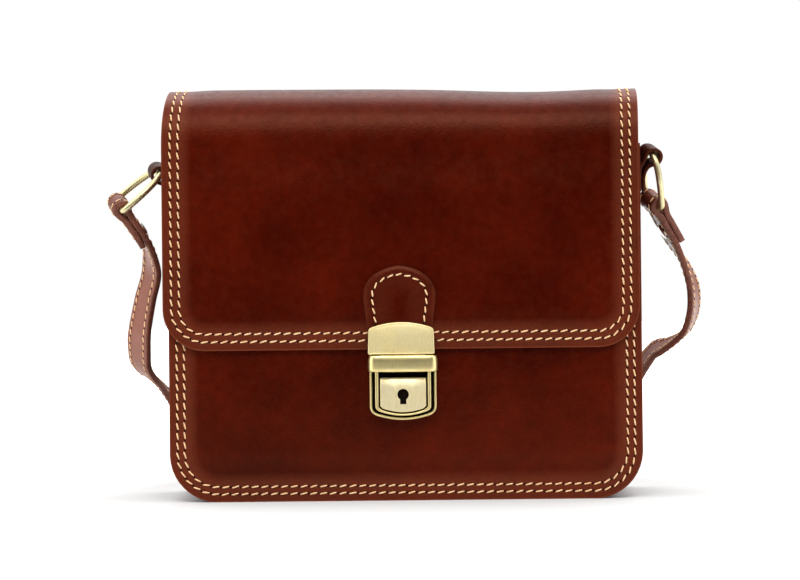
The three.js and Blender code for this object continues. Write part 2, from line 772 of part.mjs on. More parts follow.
function buildStrap() {
  const rows = strapRows();
  const half = strapWidth / 2;
  const columns = [-half, strapEdge - half, half - strapEdge, half];
  let body = solid(wall(3, rows.length - 1, (column, row, side) => {
    const line = rows[row];
    const edge = column === 0 || column === 3 ? strapEdge / 2 : 0;
    const off = (0.5 - side) * (strapLeather - 2 * edge);
    return line.point.clone().addScaledVector(line.across, columns[column]).addScaledVector(line.out, off);
  }));
  rings.forEach((ring) => {
    const depth = strapLeather * 1.6 + pieceGap;
    const bore = rivetShank / 2 + pieceGap;
    const hole = new THREE.CylinderGeometry(bore, bore, depth * 2, 12);
    body = body.subtract(solid(placedAlong(hole, rivetPlace(ring))));
  });
  add("shoulder_strap", geometryOf(body), strapColour);
}

// A domed cap on the strand's inner face, with a shank through it into the tail
function buildRivet(ring) {
  const shank = rivetShank / 2;
  const cap = rivetCap / 2;
  const tip = strapLeather * 1.6;
  const profile = [
    [0, tip], [shank, tip], [shank, -pieceGap], [cap, -pieceGap],
    [cap, -pieceGap - rivetProud * 0.4],
    [cap * 0.8, -pieceGap - rivetProud * 0.85],
    [0, -pieceGap - rivetProud],
  ];
  const line = profile.map(([radius, height]) => new THREE.Vector2(radius, height));
  const geometry = placedAlong(new THREE.LatheGeometry(line, 16), rivetPlace(ring));
  add(`strap_rivet_${ring.name}`, outward(welded(geometry)), steelColour);
}

buildFrontPanel();
buildGusset();
buildBackAndFlap();
buildFlapTab();
buildLockCase();
buildLockButton();
buildHasp();
rings.forEach((ring) => {
  buildRing(ring);
  buildRingTab(ring);
  buildRivet(ring);
});
buildStrap();

export default bag;
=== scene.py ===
"""A flap bag of glossy chestnut leather, standing with its strap fallen behind it.

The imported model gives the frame, and this script dresses it: fine leather walls
with rounded cut edges, saddle stitches, the press lock, the rings and the strap.
Lengths are in millimetres until a mesh is made. The front faces -Y, +Z is up."""

import math

import bmesh
import bpy
from mathutils import Matrix, Vector, geometry, noise


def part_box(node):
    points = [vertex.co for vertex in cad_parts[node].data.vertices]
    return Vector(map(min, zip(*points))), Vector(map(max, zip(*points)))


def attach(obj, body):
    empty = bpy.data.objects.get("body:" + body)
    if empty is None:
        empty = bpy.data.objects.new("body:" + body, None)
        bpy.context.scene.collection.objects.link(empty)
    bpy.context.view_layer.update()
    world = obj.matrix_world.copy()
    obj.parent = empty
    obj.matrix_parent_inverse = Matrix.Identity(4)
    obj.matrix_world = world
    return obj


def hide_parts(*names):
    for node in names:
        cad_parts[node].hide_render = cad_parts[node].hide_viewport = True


MM = 0.001
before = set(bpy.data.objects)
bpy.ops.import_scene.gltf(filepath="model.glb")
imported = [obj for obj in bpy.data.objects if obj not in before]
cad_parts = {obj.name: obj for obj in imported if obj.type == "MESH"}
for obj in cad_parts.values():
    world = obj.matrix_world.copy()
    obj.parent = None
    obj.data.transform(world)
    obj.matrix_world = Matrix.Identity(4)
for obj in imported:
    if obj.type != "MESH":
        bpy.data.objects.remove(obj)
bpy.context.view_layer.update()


def node_box(node):
    """A node's lowest and highest corners in millimetres."""
    low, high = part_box(node)
    return low / MM, high / MM


# Sizes read from the frame
gusset_high = node_box("gusset")[1]
front_high = node_box("front_panel")[1]
patch_low, patch_high = node_box("flap_tab")
case_low, case_high = node_box("lock_case")
button_low, button_high = node_box("lock_button")
hasp_low, hasp_high = node_box("hasp")

# Sizes of the leather work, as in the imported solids
PANEL_LEATHER = 2.0
GUSSET_LEATHER = 1.8
PIECE_GAP = 0.3
BOTTOM_RADIUS = 26.0
FLAP_RADIUS = 22.5
FLANGE_WIDTH = 12.0
BEND_RADIUS = 2.5
GUSSET_BULGE = 2.5
PANEL_PUFF = 2.2
FLAP_PUFF = 0.6
FLAP_CLEARANCE = 0.8
FLAP_SHIFT = -2.0
FLAP_BOTTOM = 82.0
FLAP_HALF = 128.8
ARCH_BASE = 188.5
TOP_DIP = 2.6
ARCH_SQUARE = 0.77
SEAM_INSET = 8.2
PUFF_RUN = 16.0

BODY_HALF = front_high.x
FRONT_TOP = front_high.z
GUSSET_TOP = gusset_high.z
HALF_DEPTH = gusset_high.y + PANEL_LEATHER + PIECE_GAP
BODY_HEIGHT = 224.8
FLAP_FACE = HALF_DEPTH + FLAP_CLEARANCE + PANEL_LEATHER

# Sizes of the rings, their tabs, the strap and its rivets
WIRE = 3.0
WIRE_FULLER = 0.25
RING_WIDTH = 22.5
RING_LENGTH = 29.5
STRIP_WIDTH = 10.0
STRIP_LEATHER = 1.8
STRIP_LOOP = 3.3
STRIP_TAIL = 20.0
STRAP_WIDTH = 18.0
STRAP_LEATHER = 3.4
STRAP_TAIL = 26.0
STRAP_LOOP_WIDTH = 234.0
STRAP_LOOP_START = 118.0
STRAP_LOOP_REACH = 162.0
FLOOR_GAP = 0.9
RIVET_CAP = 9.0
RIVET_FROM_BAR = 18.0

# Sizes of the stitching
PITCH = 5.3
PATCH_PITCH = 4.7
STRAP_PITCH = 4.6
THREAD_LENGTH = 4.25
THREAD_WIDTH = 0.88
THREAD_SLANT = math.radians(14)
PANEL_SEAMS = (4.3, 8.2)
FLAP_SEAMS = (4.7, 8.9)
PATCH_SEAM = 4.7
STRAP_SEAM = 3.0


# Small sums

def smooth(value):
    """0 below 0, 1 above 1, and a soft step between."""
    share = min(1.0, max(0.0, value))
    return share * share * (3 - 2 * share)


def mix(first, second, share):
    return first + (second - first) * share


def half_at(height, half, radius):
    """Half a panel's width at a height above its lower edge."""
    if height >= radius:
        return half
    return half - radius + math.sqrt(max(0.0, radius ** 2 - (radius - height) ** 2))


def inset_at(across, height, half, radius):
    """How far a point lies inside a panel's rounded edge."""
    side = half - abs(across)
    if side >= radius or height >= radius:
        return min(side, height)
    return radius - math.hypot(radius - side, radius - height)


def puff_at(inset):
    return smooth((inset - SEAM_INSET) / PUFF_RUN)


def fullness_at(height):
    return smooth((FRONT_TOP - height) / (FRONT_TOP * 0.16))


def ripple(x, y, z, size, depth):
    """Soft unevenness of a leather face."""
    return depth * noise.noise(Vector((x, y, z)) / size)


def catmull(points, share):
    """A point on the smooth line through points, share from 0 to 1."""
    last = len(points) - 1
    place = min(max(share, 0.0), 1.0) * last
    k = min(int(place), last - 1)
    t = place - k
    one, two = points[k], points[k + 1]
    zero = points[k - 1] if k > 0 else one * 2 - two
    three = points[k + 2] if k + 2 <= last else two * 2 - one
    gaps = [math.sqrt((b - a).length) for a, b in ((zero, one), (one, two), (two, three))]
    middle = gaps[1] if gaps[1] > 1e-4 else 1.0
    before = gaps[0] if gaps[0] > 1e-4 else middle
    after = gaps[2] if gaps[2] > 1e-4 else middle
    leave = (one - zero) / before - (two - zero) / (before + middle) + (two - one) / middle
    arrive = (two - one) / middle - (three - one) / (middle + after) + (three - two) / after
    leave = leave * middle
    arrive = arrive * middle
    third = (two - one) * 3 - leave * 2 - arrive
    fourth = (one - two) * 2 + leave + arrive
    return one + leave * t + third * t ** 2 + fourth * t ** 3


class Line:
    """A smooth line that gives places and directions by share or by distance."""

    def __init__(self, points, steps=400):
        self.points = points
        self.shares = [k / steps for k in range(steps + 1)]
        places = [catmull(points, share) for share in self.shares]
        self.lengths = [0.0]
        for a, b in zip(places, places[1:]):
            self.lengths.append(self.lengths[-1] + (b - a).length)
        self.length = self.lengths[-1]

    def share_at(self, distance):
        for k in range(1, len(self.lengths)):
            if self.lengths[k] >= distance:
                step = self.lengths[k] - self.lengths[k - 1]
                part = (distance - self.lengths[k - 1]) / step if step else 0.0
                return mix(self.shares[k - 1], self.shares[k], part)
        return 1.0

    def at(self, share):
        return catmull(self.points, share)

    def way(self, share):
        step = 0.0005
        return (self.at(share + step) - self.at(share - step)).normalized()


# Mesh helpers

def sheet(columns, rows, place, way_out=None, weld=False):
    """A grid of faces whose points place(u, v) sets, with each one's distance from
    the piece's edge; way_out is where the first face looks."""
    mesh = bmesh.new()
    bmesh.ops.create_grid(mesh, x_segments=columns, y_segments=rows, size=0.5)
    edge = mesh.verts.layers.float.new("edge")
    for vert in mesh.verts:
        spot, inset = place(vert.co.x + 0.5, vert.co.y + 0.5)
        vert.co = spot
        vert[edge] = inset
    if weld:
        bmesh.ops.remove_doubles(mesh, verts=mesh.verts, dist=0.001)
        bmesh.ops.recalc_face_normals(mesh, faces=mesh.faces)
    mesh.faces.ensure_lookup_table()
    mesh.normal_update()
    if way_out is not None and mesh.faces[0].normal.dot(way_out) < 0:
        bmesh.ops.reverse_faces(mesh, faces=mesh.faces)
    return mesh


def piece(name, mesh, materials, body="bag", nodes=()):
    """The finished object of a bmesh in millimetres, riding on its body."""
    bmesh.ops.scale(mesh, vec=(MM, MM, MM), verts=mesh.verts)
    data = bpy.data.meshes.new(name)
    mesh.to_mesh(data)
    mesh.free()
    for material in materials:
        data.materials.append(material)
    data.shade_smooth()
    thing = bpy.data.objects.new(name, data)
    bpy.context.scene.collection.objects.link(thing)
    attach(thing, body)
    if nodes:
        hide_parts(*nodes)
    return thing


def give_wall(thing, thickness, rounding=0.45):
    """Gives a sheet its leather's thickness inwards, with rounded cut edges."""
    wall = thing.modifiers.new("wall", "SOLIDIFY")
    wall.thickness = thickness * MM
    wall.offset = -1
    wall.use_even_offset = True
    wall.material_offset = 1
    wall.material_offset_rim = 2
    cut = thing.modifiers.new("cut", "BEVEL")
    cut.width = rounding * MM
    cut.segments = 3
    cut.limit_method = "ANGLE"
    cut.angle_limit = math.radians(50)
    return thing


# Materials

def node(tree, kind, **settings):
    """A shader node with its settings and unlinked inputs."""
    made = tree.nodes.new(kind)
    for key, value in settings.items():
        if key in made.inputs:
            made.inputs[key].default_value = value
        else:
            setattr(made, key, value)
    return made


def ramp(tree, source, stops):
    """A colour ramp over source with (place, grey or colour) stops."""
    made = tree.nodes.new("ShaderNodeValToRGB")
    band = made.color_ramp
    while len(band.elements) < len(stops):
        band.elements.new(0.5)
    for element, (place, value) in zip(band.elements, stops):
        element.position = place
        element.color = (value, value, value, 1) if isinstance(value, (int, float)) else (*value, 1)
    tree.links.new(source, made.inputs["Fac"])
    return made.outputs["Color"]


def mixed(tree, kind, share, first, second):
    """Two colours mixed by a share that is a number or a socket."""
    made = tree.nodes.new("ShaderNodeMix")
    made.data_type = "RGBA"
    made.blend_type = kind
    sockets = [s for s in made.inputs if s.type == "RGBA"]
    for socket, value in zip([made.inputs[0], *sockets], (share, first, second)):
        if isinstance(value, bpy.types.NodeSocket):
            tree.links.new(value, socket)
        else:
            socket.default_value = value if isinstance(value, (int, float)) else (*value, 1)
    return next(s for s in made.outputs if s.type == "RGBA")


def scaled(tree, source, factor):
    """A number socket times a factor."""
    made = tree.nodes.new("ShaderNodeMath")
    made.operation = "MULTIPLY"
    made.inputs[1].default_value = factor
    tree.links.new(source, made.inputs[0])
    return made.outputs[0]


def summed(tree, *sources):
    """The sum of number sockets."""
    total = sources[0]
    for source in sources[1:]:
        made = tree.nodes.new("ShaderNodeMath")
        made.operation = "ADD"
        tree.links.new(total, made.inputs[0])
        tree.links.new(source, made.inputs[1])
        total = made.outputs[0]
    return total


def pattern(tree, coords, kind, scale, output, **settings):
    """A noise or cell pattern on the given coordinates; scale is cells in a metre."""
    made = node(tree, kind, **settings)
    made.inputs["Scale"].default_value = scale
    tree.links.new(coords, made.inputs["Vector"])
    return made.outputs[output]


def base_shader(name, roughness, coat=0.0, metallic=0.0, level=0.5, tint=(1, 1, 1)):
    """A material's tree, its Principled shader and its object coordinates."""
    material = bpy.data.materials.new(name)
    material.use_nodes = True
    tree = material.node_tree
    shader = tree.nodes["Principled BSDF"]
    shader.inputs["Metallic"].default_value = metallic
    shader.inputs["Roughness"].default_value = roughness
    shader.inputs["Specular IOR Level"].default_value = level
    shader.inputs["Specular Tint"].default_value = (*tint, 1)
    shader.inputs["Coat Weight"].default_value = coat
    shader.inputs["Coat Roughness"].default_value = 0.22
    coords = tree.nodes.new("ShaderNodeTexCoord").outputs["Object"]
    return material, tree, shader, coords


def add_bump(tree, shader, height, distance, strength=1.0):
    """Bump of a height from 0 to 1 over a depth in millimetres."""
    made = tree.nodes.new("ShaderNodeBump")
    made.inputs["Strength"].default_value = strength
    made.inputs["Distance"].default_value = distance * MM
    tree.links.new(height, made.inputs["Height"])
    tree.links.new(made.outputs["Normal"], shader.inputs["Normal"])


# How far in from a piece's edge its colour changes, and a seam channel's half width
SEAM_SPAN = 16.0
CHANNEL_HALF = 1.1


def leather(name, deep, warm, worn_and_sheen, seams=(), roughness=0.24, coat=0.0, pale=0.7):
    """Polished leather: clouded colour, pores, fine grain, soft creases, edges paler from rubbing
    and from a painted highlight on the rim and the puffed border, and a channel pressed along each seam."""
    material, tree, shader, coords = base_shader(name, roughness, coat, level=0.2, tint=(1, 0.42, 0.25))
    clouds = pattern(tree, coords, "ShaderNodeTexNoise", 16, "Fac", Detail=4.0, Roughness=0.6)
    mottle = pattern(tree, coords, "ShaderNodeTexNoise", 170, "Fac", Detail=3.0)
    colour = mixed(tree, "MIX", ramp(tree, clouds, [(0.36, 0.0), (0.66, 1.0)]), deep, warm)
    colour = mixed(tree, "MULTIPLY", 0.5, colour, ramp(tree, mottle, [(0.3, 0.55), (0.7, 1.0)]))
    distance = node(tree, "ShaderNodeAttribute", attribute_name="edge").outputs["Fac"]
    across = scaled(tree, distance, 1 / SEAM_SPAN)
    # Paler towards the edge: some real rubbing, but mostly a painted highlight on the rounded rim and on
    # the puffed border inside the seams.
    sheen_and_rub = ramp(tree, across, [
        (0.0, pale), (0.06, pale * 0.35), (0.5, pale * 0.5), (0.72, pale * 0.35), (1.0, 0.0),
    ])
    colour = mixed(tree, "MIX", sheen_and_rub, colour, worn_and_sheen)
    specks = pattern(tree, coords, "ShaderNodeTexVoronoi", 62, "Distance", Randomness=1.0)
    colour = mixed(tree, "MIX", ramp(tree, specks, [(0.0, 0.55), (0.014, 0.3), (0.022, 0.0)]), colour, worn_and_sheen)
    tree.links.new(colour, shader.inputs["Base Color"])
    gloss = pattern(tree, coords, "ShaderNodeTexNoise", 240, "Fac", Detail=5.0)
    dull = ramp(tree, gloss, [(0.3, roughness - 0.05), (0.7, roughness + 0.12)])
    tree.links.new(dull, shader.inputs["Roughness"])
    grain = pattern(tree, coords, "ShaderNodeTexVoronoi", 1150, "Distance", Randomness=1.0)
    pores = pattern(tree, coords, "ShaderNodeTexNoise", 900, "Fac", Detail=2.0)
    creases = pattern(tree, coords, "ShaderNodeTexNoise", 75, "Fac", Detail=5.0, Distortion=0.8)
    parts = [scaled(tree, grain, 0.2), scaled(tree, pores, 0.16), scaled(tree, creases, 0.5)]
    if seams:
        stops = [(0.0, 0.6)]
        for seam in seams:
            stops += [((seam - CHANNEL_HALF) / SEAM_SPAN, 1.0), (seam / SEAM_SPAN, 0.0),
                      ((seam + CHANNEL_HALF) / SEAM_SPAN, 1.0)]
        parts.append(scaled(tree, ramp(tree, across, stops), 1.0))
    add_bump(tree, shader, summed(tree, *parts), 0.32, 0.8)
    return material


def plain_leather(name, deep, warm, roughness, grain_depth):
    """A cut edge or a flesh side: matt, fibrous and unevenly coloured."""
    material, tree, shader, coords = base_shader(name, roughness, level=0.35)
    fibres = pattern(tree, coords, "ShaderNodeTexNoise", 420, "Fac", Detail=6.0, Roughness=0.7)
    clouds = pattern(tree, coords, "ShaderNodeTexNoise", 45, "Fac", Detail=3.0)
    share = summed(tree, scaled(tree, fibres, 0.6), scaled(tree, clouds, 0.4))
    colour = mixed(tree, "MIX", ramp(tree, share, [(0.35, 0.0), (0.65, 1.0)]), deep, warm)
    tree.links.new(colour, shader.inputs["Base Color"])
    add_bump(tree, shader, fibres, grain_depth, 0.7)
    return material


def brass(name, roughness, light=(0.97, 0.82, 0.41), dark=(0.86, 0.7, 0.31)):
    """Satin antique brass: fine upright brushing and cloudy tarnish."""
    material, tree, shader, coords = base_shader(name, 0.3, metallic=1.0)
    clouds = pattern(tree, coords, "ShaderNodeTexNoise", 120, "Fac", Detail=4.0)
    brushed = node(tree, "ShaderNodeMapping")
    brushed.inputs["Scale"].default_value = (1.0, 1.0, 0.03)
    tree.links.new(coords, brushed.inputs["Vector"])
    strokes = pattern(tree, brushed.outputs["Vector"], "ShaderNodeTexNoise", 5200, "Fac", Detail=3.0)
    colour = mixed(tree, "MIX", ramp(tree, clouds, [(0.35, 0.0), (0.7, 1.0)]), light, dark)
    colour = mixed(tree, "MULTIPLY", 0.35, colour, ramp(tree, strokes, [(0.35, 0.6), (0.65, 1.0)]))
    tree.links.new(colour, shader.inputs["Base Color"])
    rough = ramp(tree, clouds, [(0.3, roughness - 0.04), (0.7, roughness + 0.04)])
    tree.links.new(rough, shader.inputs["Roughness"])
    add_bump(tree, shader, strokes, 0.012, 0.5)
    return material


def thread(name):
    """Waxed cream-gold thread with its twist."""
    material, tree, shader, coords = base_shader(name, 0.55, level=0.3)
    twist = pattern(tree, coords, "ShaderNodeTexNoise", 1500, "Fac", Detail=2.0)
    tint = pattern(tree, coords, "ShaderNodeTexNoise", 90, "Fac", Detail=2.0)
    strands = ramp(tree, twist, [(0.35, 0.0), (0.65, 1.0)])
    colour = mixed(tree, "MIX", strands, (0.85, 0.47, 0.22), (1.0, 0.7, 0.4))
    colour = mixed(tree, "MULTIPLY", 0.3, colour, ramp(tree, tint, [(0.3, 0.7), (0.7, 1.0)]))
    tree.links.new(colour, shader.inputs["Base Color"])
    add_bump(tree, shader, twist, 0.15, 0.8)
    return material


# Near-black painted shade for needle holes, the keyhole and the lock's pocket; in the lock case's channel
# it stands for patina as well as shade.
def shade_and_patina(name):
    material, tree, shader, coords = base_shader(name, 0.9, level=0.1)
    dark_mottle = pattern(tree, coords, "ShaderNodeTexNoise", 700, "Fac")
    colour = ramp(tree, dark_mottle, [(0.3, (0.003, 0.0015, 0.001)), (0.7, (0.012, 0.005, 0.003))])
    tree.links.new(colour, shader.inputs["Base Color"])
    return material


def pale_steel(name):
    material, tree, shader, coords = base_shader(name, 0.25, metallic=1.0)
    clouds = pattern(tree, coords, "ShaderNodeTexNoise", 300, "Fac", Detail=3.0)
    colour = ramp(tree, clouds, [(0.3, (0.5, 0.47, 0.43)), (0.7, (0.85, 0.82, 0.77))])
    tree.links.new(colour, shader.inputs["Base Color"])
    add_bump(tree, shader, clouds, 0.02, 0.5)
    return material


DEEP = (0.046, 0.0023, 0.0004)
WARM = (0.081, 0.005, 0.0009)
# Pale colour of rubbed edges and pores, also used for the painted edge highlight
WORN_AND_SHEEN = (0.22, 0.055, 0.026)
panel_face = leather("panel_leather", DEEP, WARM, WORN_AND_SHEEN, PANEL_SEAMS)
shell_face = leather("flap_leather", DEEP, WARM, WORN_AND_SHEEN, FLAP_SEAMS)
patch_face = leather("patch_leather", (0.044, 0.0022, 0.0005), (0.07, 0.005, 0.0012), WORN_AND_SHEEN,
                     (PATCH_SEAM,), pale=0.22)
gusset_face = leather("gusset_leather", (0.05, 0.006, 0.003), (0.09, 0.013, 0.006), WORN_AND_SHEEN, pale=0.3)
# The ring tabs' leather is much darker than the rest: painted shade from the flap above them, together with
# the tabs' dark edge dye.
painted_shade_tab_face = leather("tab_leather", (0.02, 0.003, 0.0015), (0.045, 0.007, 0.003), WORN_AND_SHEEN,
                   roughness=0.42, pale=0.15)
strap_face = leather("strap_leather", (0.09, 0.014, 0.006), (0.15, 0.03, 0.014), WORN_AND_SHEEN,
                     (STRAP_SEAM,), 0.34, 0.1, 0.4)
cut_edge = plain_leather("cut_edge", (0.075, 0.017, 0.007), (0.17, 0.05, 0.022), 0.55, 0.1)
strap_edge = plain_leather("strap_cut_edge", (0.1, 0.024, 0.013), (0.24, 0.078, 0.045), 0.55, 0.1)
strap_flesh = leather("strap_flesh", (0.17, 0.05, 0.031), (0.27, 0.1, 0.07), (0.4, 0.19, 0.14),
                      (STRAP_SEAM,), 0.38, 0.15)
flesh_side = plain_leather("flesh_side", (0.05, 0.012, 0.006), (0.1, 0.03, 0.016), 0.8, 0.12)
thread_look = thread("thread")
shade_and_patina_look = shade_and_patina("painted_shade_and_patina")
ring_brass = brass("ring_brass", 0.4, (0.82, 0.73, 0.44), (0.62, 0.53, 0.28))
hasp_brass = brass("hasp_brass", 0.5, (0.97, 0.83, 0.46), (0.88, 0.73, 0.36))
plate_brass = brass("plate_brass", 0.5, (0.98, 0.86, 0.54), (0.9, 0.77, 0.45))
case_brass = brass("case_brass", 0.32)
rivet_look = pale_steel("rivet_steel")


# The leather shell's surfaces

COLUMNS = 110
EDGE_CROWDING = 1.35


def crowded(u):
    """A column's share of the half width, closer together towards the edges."""
    share = 2 * u - 1
    return math.copysign(1 - (1 - abs(share)) ** EDGE_CROWDING, share)


def panel_height(v, radius, top):
    """A row's height: along the corner's arc first, then up to the top."""
    arc = 0.16
    if v < arc:
        return radius * (1 - math.cos(v / arc * math.pi / 2))
    return mix(radius, top, (v - arc) / (1 - arc))


def front_at(across, height):
    """A place on the front panel's face, in millimetres."""
    full = puff_at(inset_at(across, height, BODY_HALF, BOTTOM_RADIUS))
    depth = PANEL_PUFF * full * fullness_at(height)
    depth += ripple(across, 0, height, 46, 0.16) * full
    return Vector((across, -HALF_DEPTH - depth, height))


# The shell's run goes up the back, over the arch and down the flap
ARCH_REACH = (HALF_DEPTH + FLAP_FACE) / 2
ARCH_MIDDLE = (HALF_DEPTH - FLAP_FACE) / 2
ARCH_RISE = BODY_HEIGHT - ARCH_BASE
ARCH_RUN = math.pi * (ARCH_REACH + ARCH_RISE) / 2
FLAP_RUN = ARCH_BASE - FLAP_BOTTOM
SHELL_RUN = ARCH_BASE + ARCH_RUN + FLAP_RUN


def top_wave(across):
    """The top line sags right of the middle."""
    place = across / BODY_HALF - 0.55
    return -TOP_DIP * math.exp(-((place / (0.42 if place < 0 else 0.38)) ** 2))


def shell_half(run):
    """Half the shell's width at a place of its run."""
    if run <= ARCH_BASE:
        return half_at(run, BODY_HALF, BOTTOM_RADIUS)
    if run >= ARCH_BASE + ARCH_RUN:
        return half_at(max(0.0, SHELL_RUN - run), FLAP_HALF, FLAP_RADIUS)
    return mix(BODY_HALF, FLAP_HALF, smooth(2 * (run - ARCH_BASE) / ARCH_RUN - 1))


def shell_inset(across, run):
    """How far a point lies inside the shell's outline."""
    if run <= ARCH_BASE:
        return inset_at(across, run, BODY_HALF, BOTTOM_RADIUS)
    if run >= ARCH_BASE + ARCH_RUN:
        return inset_at(across, SHELL_RUN - run, FLAP_HALF, FLAP_RADIUS)
    return shell_half(run) - abs(across)


def shell_at(across, run):
    """A place on the shell's outer face, in millimetres."""
    inset = shell_inset(across, run)
    full = puff_at(inset)
    if run <= ARCH_BASE:
        share = fullness_at(run)
        out = full * mix(FLAP_PUFF, PANEL_PUFF, share)
        y, z, way = HALF_DEPTH, run, Vector((0, 1, 0))
        shift, wave = 0.0, 0.0
    elif run >= ARCH_BASE + ARCH_RUN:
        z = FLAP_BOTTOM + SHELL_RUN - run
        under = PANEL_PUFF * puff_at(BODY_HALF - abs(across)) * fullness_at(z)
        out = under + FLAP_PUFF * full
        y, way = -FLAP_FACE, Vector((0, -1, 0))
        shift, wave = FLAP_SHIFT, 0.0
    else:
        angle = math.pi * (run - ARCH_BASE) / ARCH_RUN
        over = smooth(2 * (run - ARCH_BASE) / ARCH_RUN - 1)
        square = ARCH_SQUARE if angle > math.pi / 2 else 1.0
        back, up = math.cos(angle), max(0.0, math.sin(angle))
        y = ARCH_MIDDLE + math.copysign(ARCH_REACH * abs(back) ** square, back)
        z = ARCH_BASE + ARCH_RISE * up ** square
        tilt = math.copysign(abs(back) ** (2 - square) / ARCH_REACH, back)
        way = Vector((0, tilt, up ** (2 - square) / ARCH_RISE)).normalized()
        out = FLAP_PUFF * full
        shift, wave = FLAP_SHIFT * over, math.sin(angle) ** 2
    out += ripple(across, run, 7, 52, 0.2) * full
    return Vector((across + shift, y, z + top_wave(across) * wave)) + way * out


def surface_way(at, across, run):
    """The way out of a surface, from its slopes."""
    step = 0.2
    along = at(across, run + step) - at(across, run - step)
    over = at(across + step, run) - at(across - step, run)
    return over.cross(along).normalized()


def build_front_panel():
    def place(u, v):
        height = panel_height(v, BOTTOM_RADIUS, FRONT_TOP)
        across = crowded(u) * half_at(height, BODY_HALF, BOTTOM_RADIUS)
        return front_at(across, height), inset_at(across, height, BODY_HALF, BOTTOM_RADIUS)

    mesh = sheet(COLUMNS, 64, place, Vector((0, -1, 0)))
    panel = piece("front_panel_leather", mesh, [panel_face, flesh_side, cut_edge],
                  nodes=["front_panel"])
    give_wall(panel, PANEL_LEATHER)


def shell_run(v):
    """A row's run: fine along both corner arcs, even between."""
    arc = 0.07
    if v < arc:
        return BOTTOM_RADIUS * (1 - math.cos(v / arc * math.pi / 2))
    if v > 1 - arc:
        return SHELL_RUN - FLAP_RADIUS * (1 - math.cos((1 - v) / arc * math.pi / 2))
    return mix(BOTTOM_RADIUS, SHELL_RUN - FLAP_RADIUS, (v - arc) / (1 - 2 * arc))


def build_shell():
    def place(u, v):
        run = shell_run(v)
        across = crowded(u) * shell_half(run)
        return shell_at(across, run), shell_inset(across, run)

    mesh = sheet(COLUMNS, 190, place, Vector((0, 1, 0)))
    shell = piece("back_and_flap_leather", mesh, [shell_face, flesh_side, cut_edge],
                  nodes=["back_and_flap"])
    give_wall(shell, PANEL_LEATHER)


# The gusset

def gusset_bulge(share):
    return smooth(share * 4) * (1 - 0.4 * smooth((share - 0.6) / 0.4))


def gusset_face_at(height):
    share = (height - BOTTOM_RADIUS) / (GUSSET_TOP - BOTTOM_RADIUS)
    return BODY_HALF + GUSSET_BULGE * gusset_bulge(share)


def gusset_station(run):
    """A place on the outline down the left side, under the base and up the right:
    its point, its way inwards and its share of the bulge."""
    side = GUSSET_TOP - BOTTOM_RADIUS
    arc = BOTTOM_RADIUS * math.pi / 2
    flat = 2 * (BODY_HALF - BOTTOM_RADIUS)
    half = side + arc + flat / 2
    sign = -1 if run <= half else 1
    rest = run if sign < 0 else 2 * half - run
    if rest <= side:
        height = GUSSET_TOP - rest
        bulge = gusset_bulge((height - BOTTOM_RADIUS) / side)
        return Vector((sign * BODY_HALF, 0, height)), Vector((-sign, 0, 0)), bulge
    if rest <= side + arc:
        angle = (rest - side) / BOTTOM_RADIUS
        inwards = Vector((-sign * math.cos(angle), 0, math.sin(angle)))
        corner = Vector((sign * (BODY_HALF - BOTTOM_RADIUS), 0, BOTTOM_RADIUS))
        return corner - inwards * BOTTOM_RADIUS, inwards, 0.0
    return Vector((sign * (half - rest), 0, 0)), Vector((0, 0, 1)), 0.0


def build_gusset():
    web_half = gusset_high.y - BEND_RADIUS
    flange = FLANGE_WIDTH - BEND_RADIUS
    bend = BEND_RADIUS * math.pi / 2
    section = 2 * (flange + bend + web_half)
    side = GUSSET_TOP - BOTTOM_RADIUS
    arc = BOTTOM_RADIUS * math.pi / 2
    total = 2 * (side + arc + BODY_HALF - BOTTOM_RADIUS)

    def place(u, v):
        point, inwards, bulge = gusset_station(v * total)
        along = u * section
        sign = -1 if along < section / 2 else 1
        rest = along if sign < 0 else section - along
        if rest < flange:
            inset, depth, web = BEND_RADIUS + flange - rest, gusset_high.y, 1.0
        elif rest < flange + bend:
            turn = math.pi / 2 - (rest - flange) / BEND_RADIUS
            inset = BEND_RADIUS * (1 - math.cos(turn))
            depth, web = web_half + BEND_RADIUS * math.sin(turn), 1.0
        else:
            depth = web_half - (rest - flange - bend)
            inset, web = 0.0, depth / web_half
        inset -= GUSSET_BULGE * bulge * math.cos(web * math.pi / 2)
        inset -= ripple(point.x, sign * depth, point.z, 40, 0.25) * bulge * (1 - web)
        edge = min(rest, v * total, (1 - v) * total) + 4
        return point + inwards * inset + Vector((0, sign * depth, 0)), edge

    mesh = sheet(56, 220, place, Vector((0, -1, 0)))
    strip = piece("gusset_leather", mesh, [gusset_face, flesh_side, cut_edge],
                  nodes=["gusset"])
    give_wall(strip, GUSSET_LEATHER, 0.3)


# Stitching

def stitch_shape():
    """One thread of a saddle stitch lying along X, its ends dipping to their holes."""
    mesh = bmesh.new()
    bmesh.ops.create_uvsphere(mesh, u_segments=8, v_segments=8, radius=1.0,
                              matrix=Matrix.Rotation(math.pi / 2, 4, "Y"))
    for vert in mesh.verts:
        x, y, z = vert.co
        fat = math.copysign(abs(x) ** 0.6, x)
        keep = math.sqrt(max(0.0, 1 - abs(fat) ** 3.2)) / max(1e-6, math.sqrt(max(1e-9, 1 - x * x)))
        keep = min(keep, 1.4)
        wide = keep * THREAD_WIDTH
        dip = 0.38 * fat ** 4
        vert.co = Vector((fat * THREAD_LENGTH / 2, y * wide / 2, z * wide * 0.42 - dip))
    data = bpy.data.meshes.new("stitch")
    mesh.to_mesh(data)
    mesh.free()
    return data


def hole_shape():
    """A needle hole: a small dimple where two threads meet, dark with painted shade."""
    mesh = bmesh.new()
    bmesh.ops.create_uvsphere(mesh, u_segments=8, v_segments=4, radius=1.0)
    bmesh.ops.scale(mesh, vec=(0.62, 0.5, 0.18), verts=mesh.verts)
    for face in mesh.faces:
        face.material_index = 1
    data = bpy.data.meshes.new("hole")
    mesh.to_mesh(data)
    mesh.free()
    return data


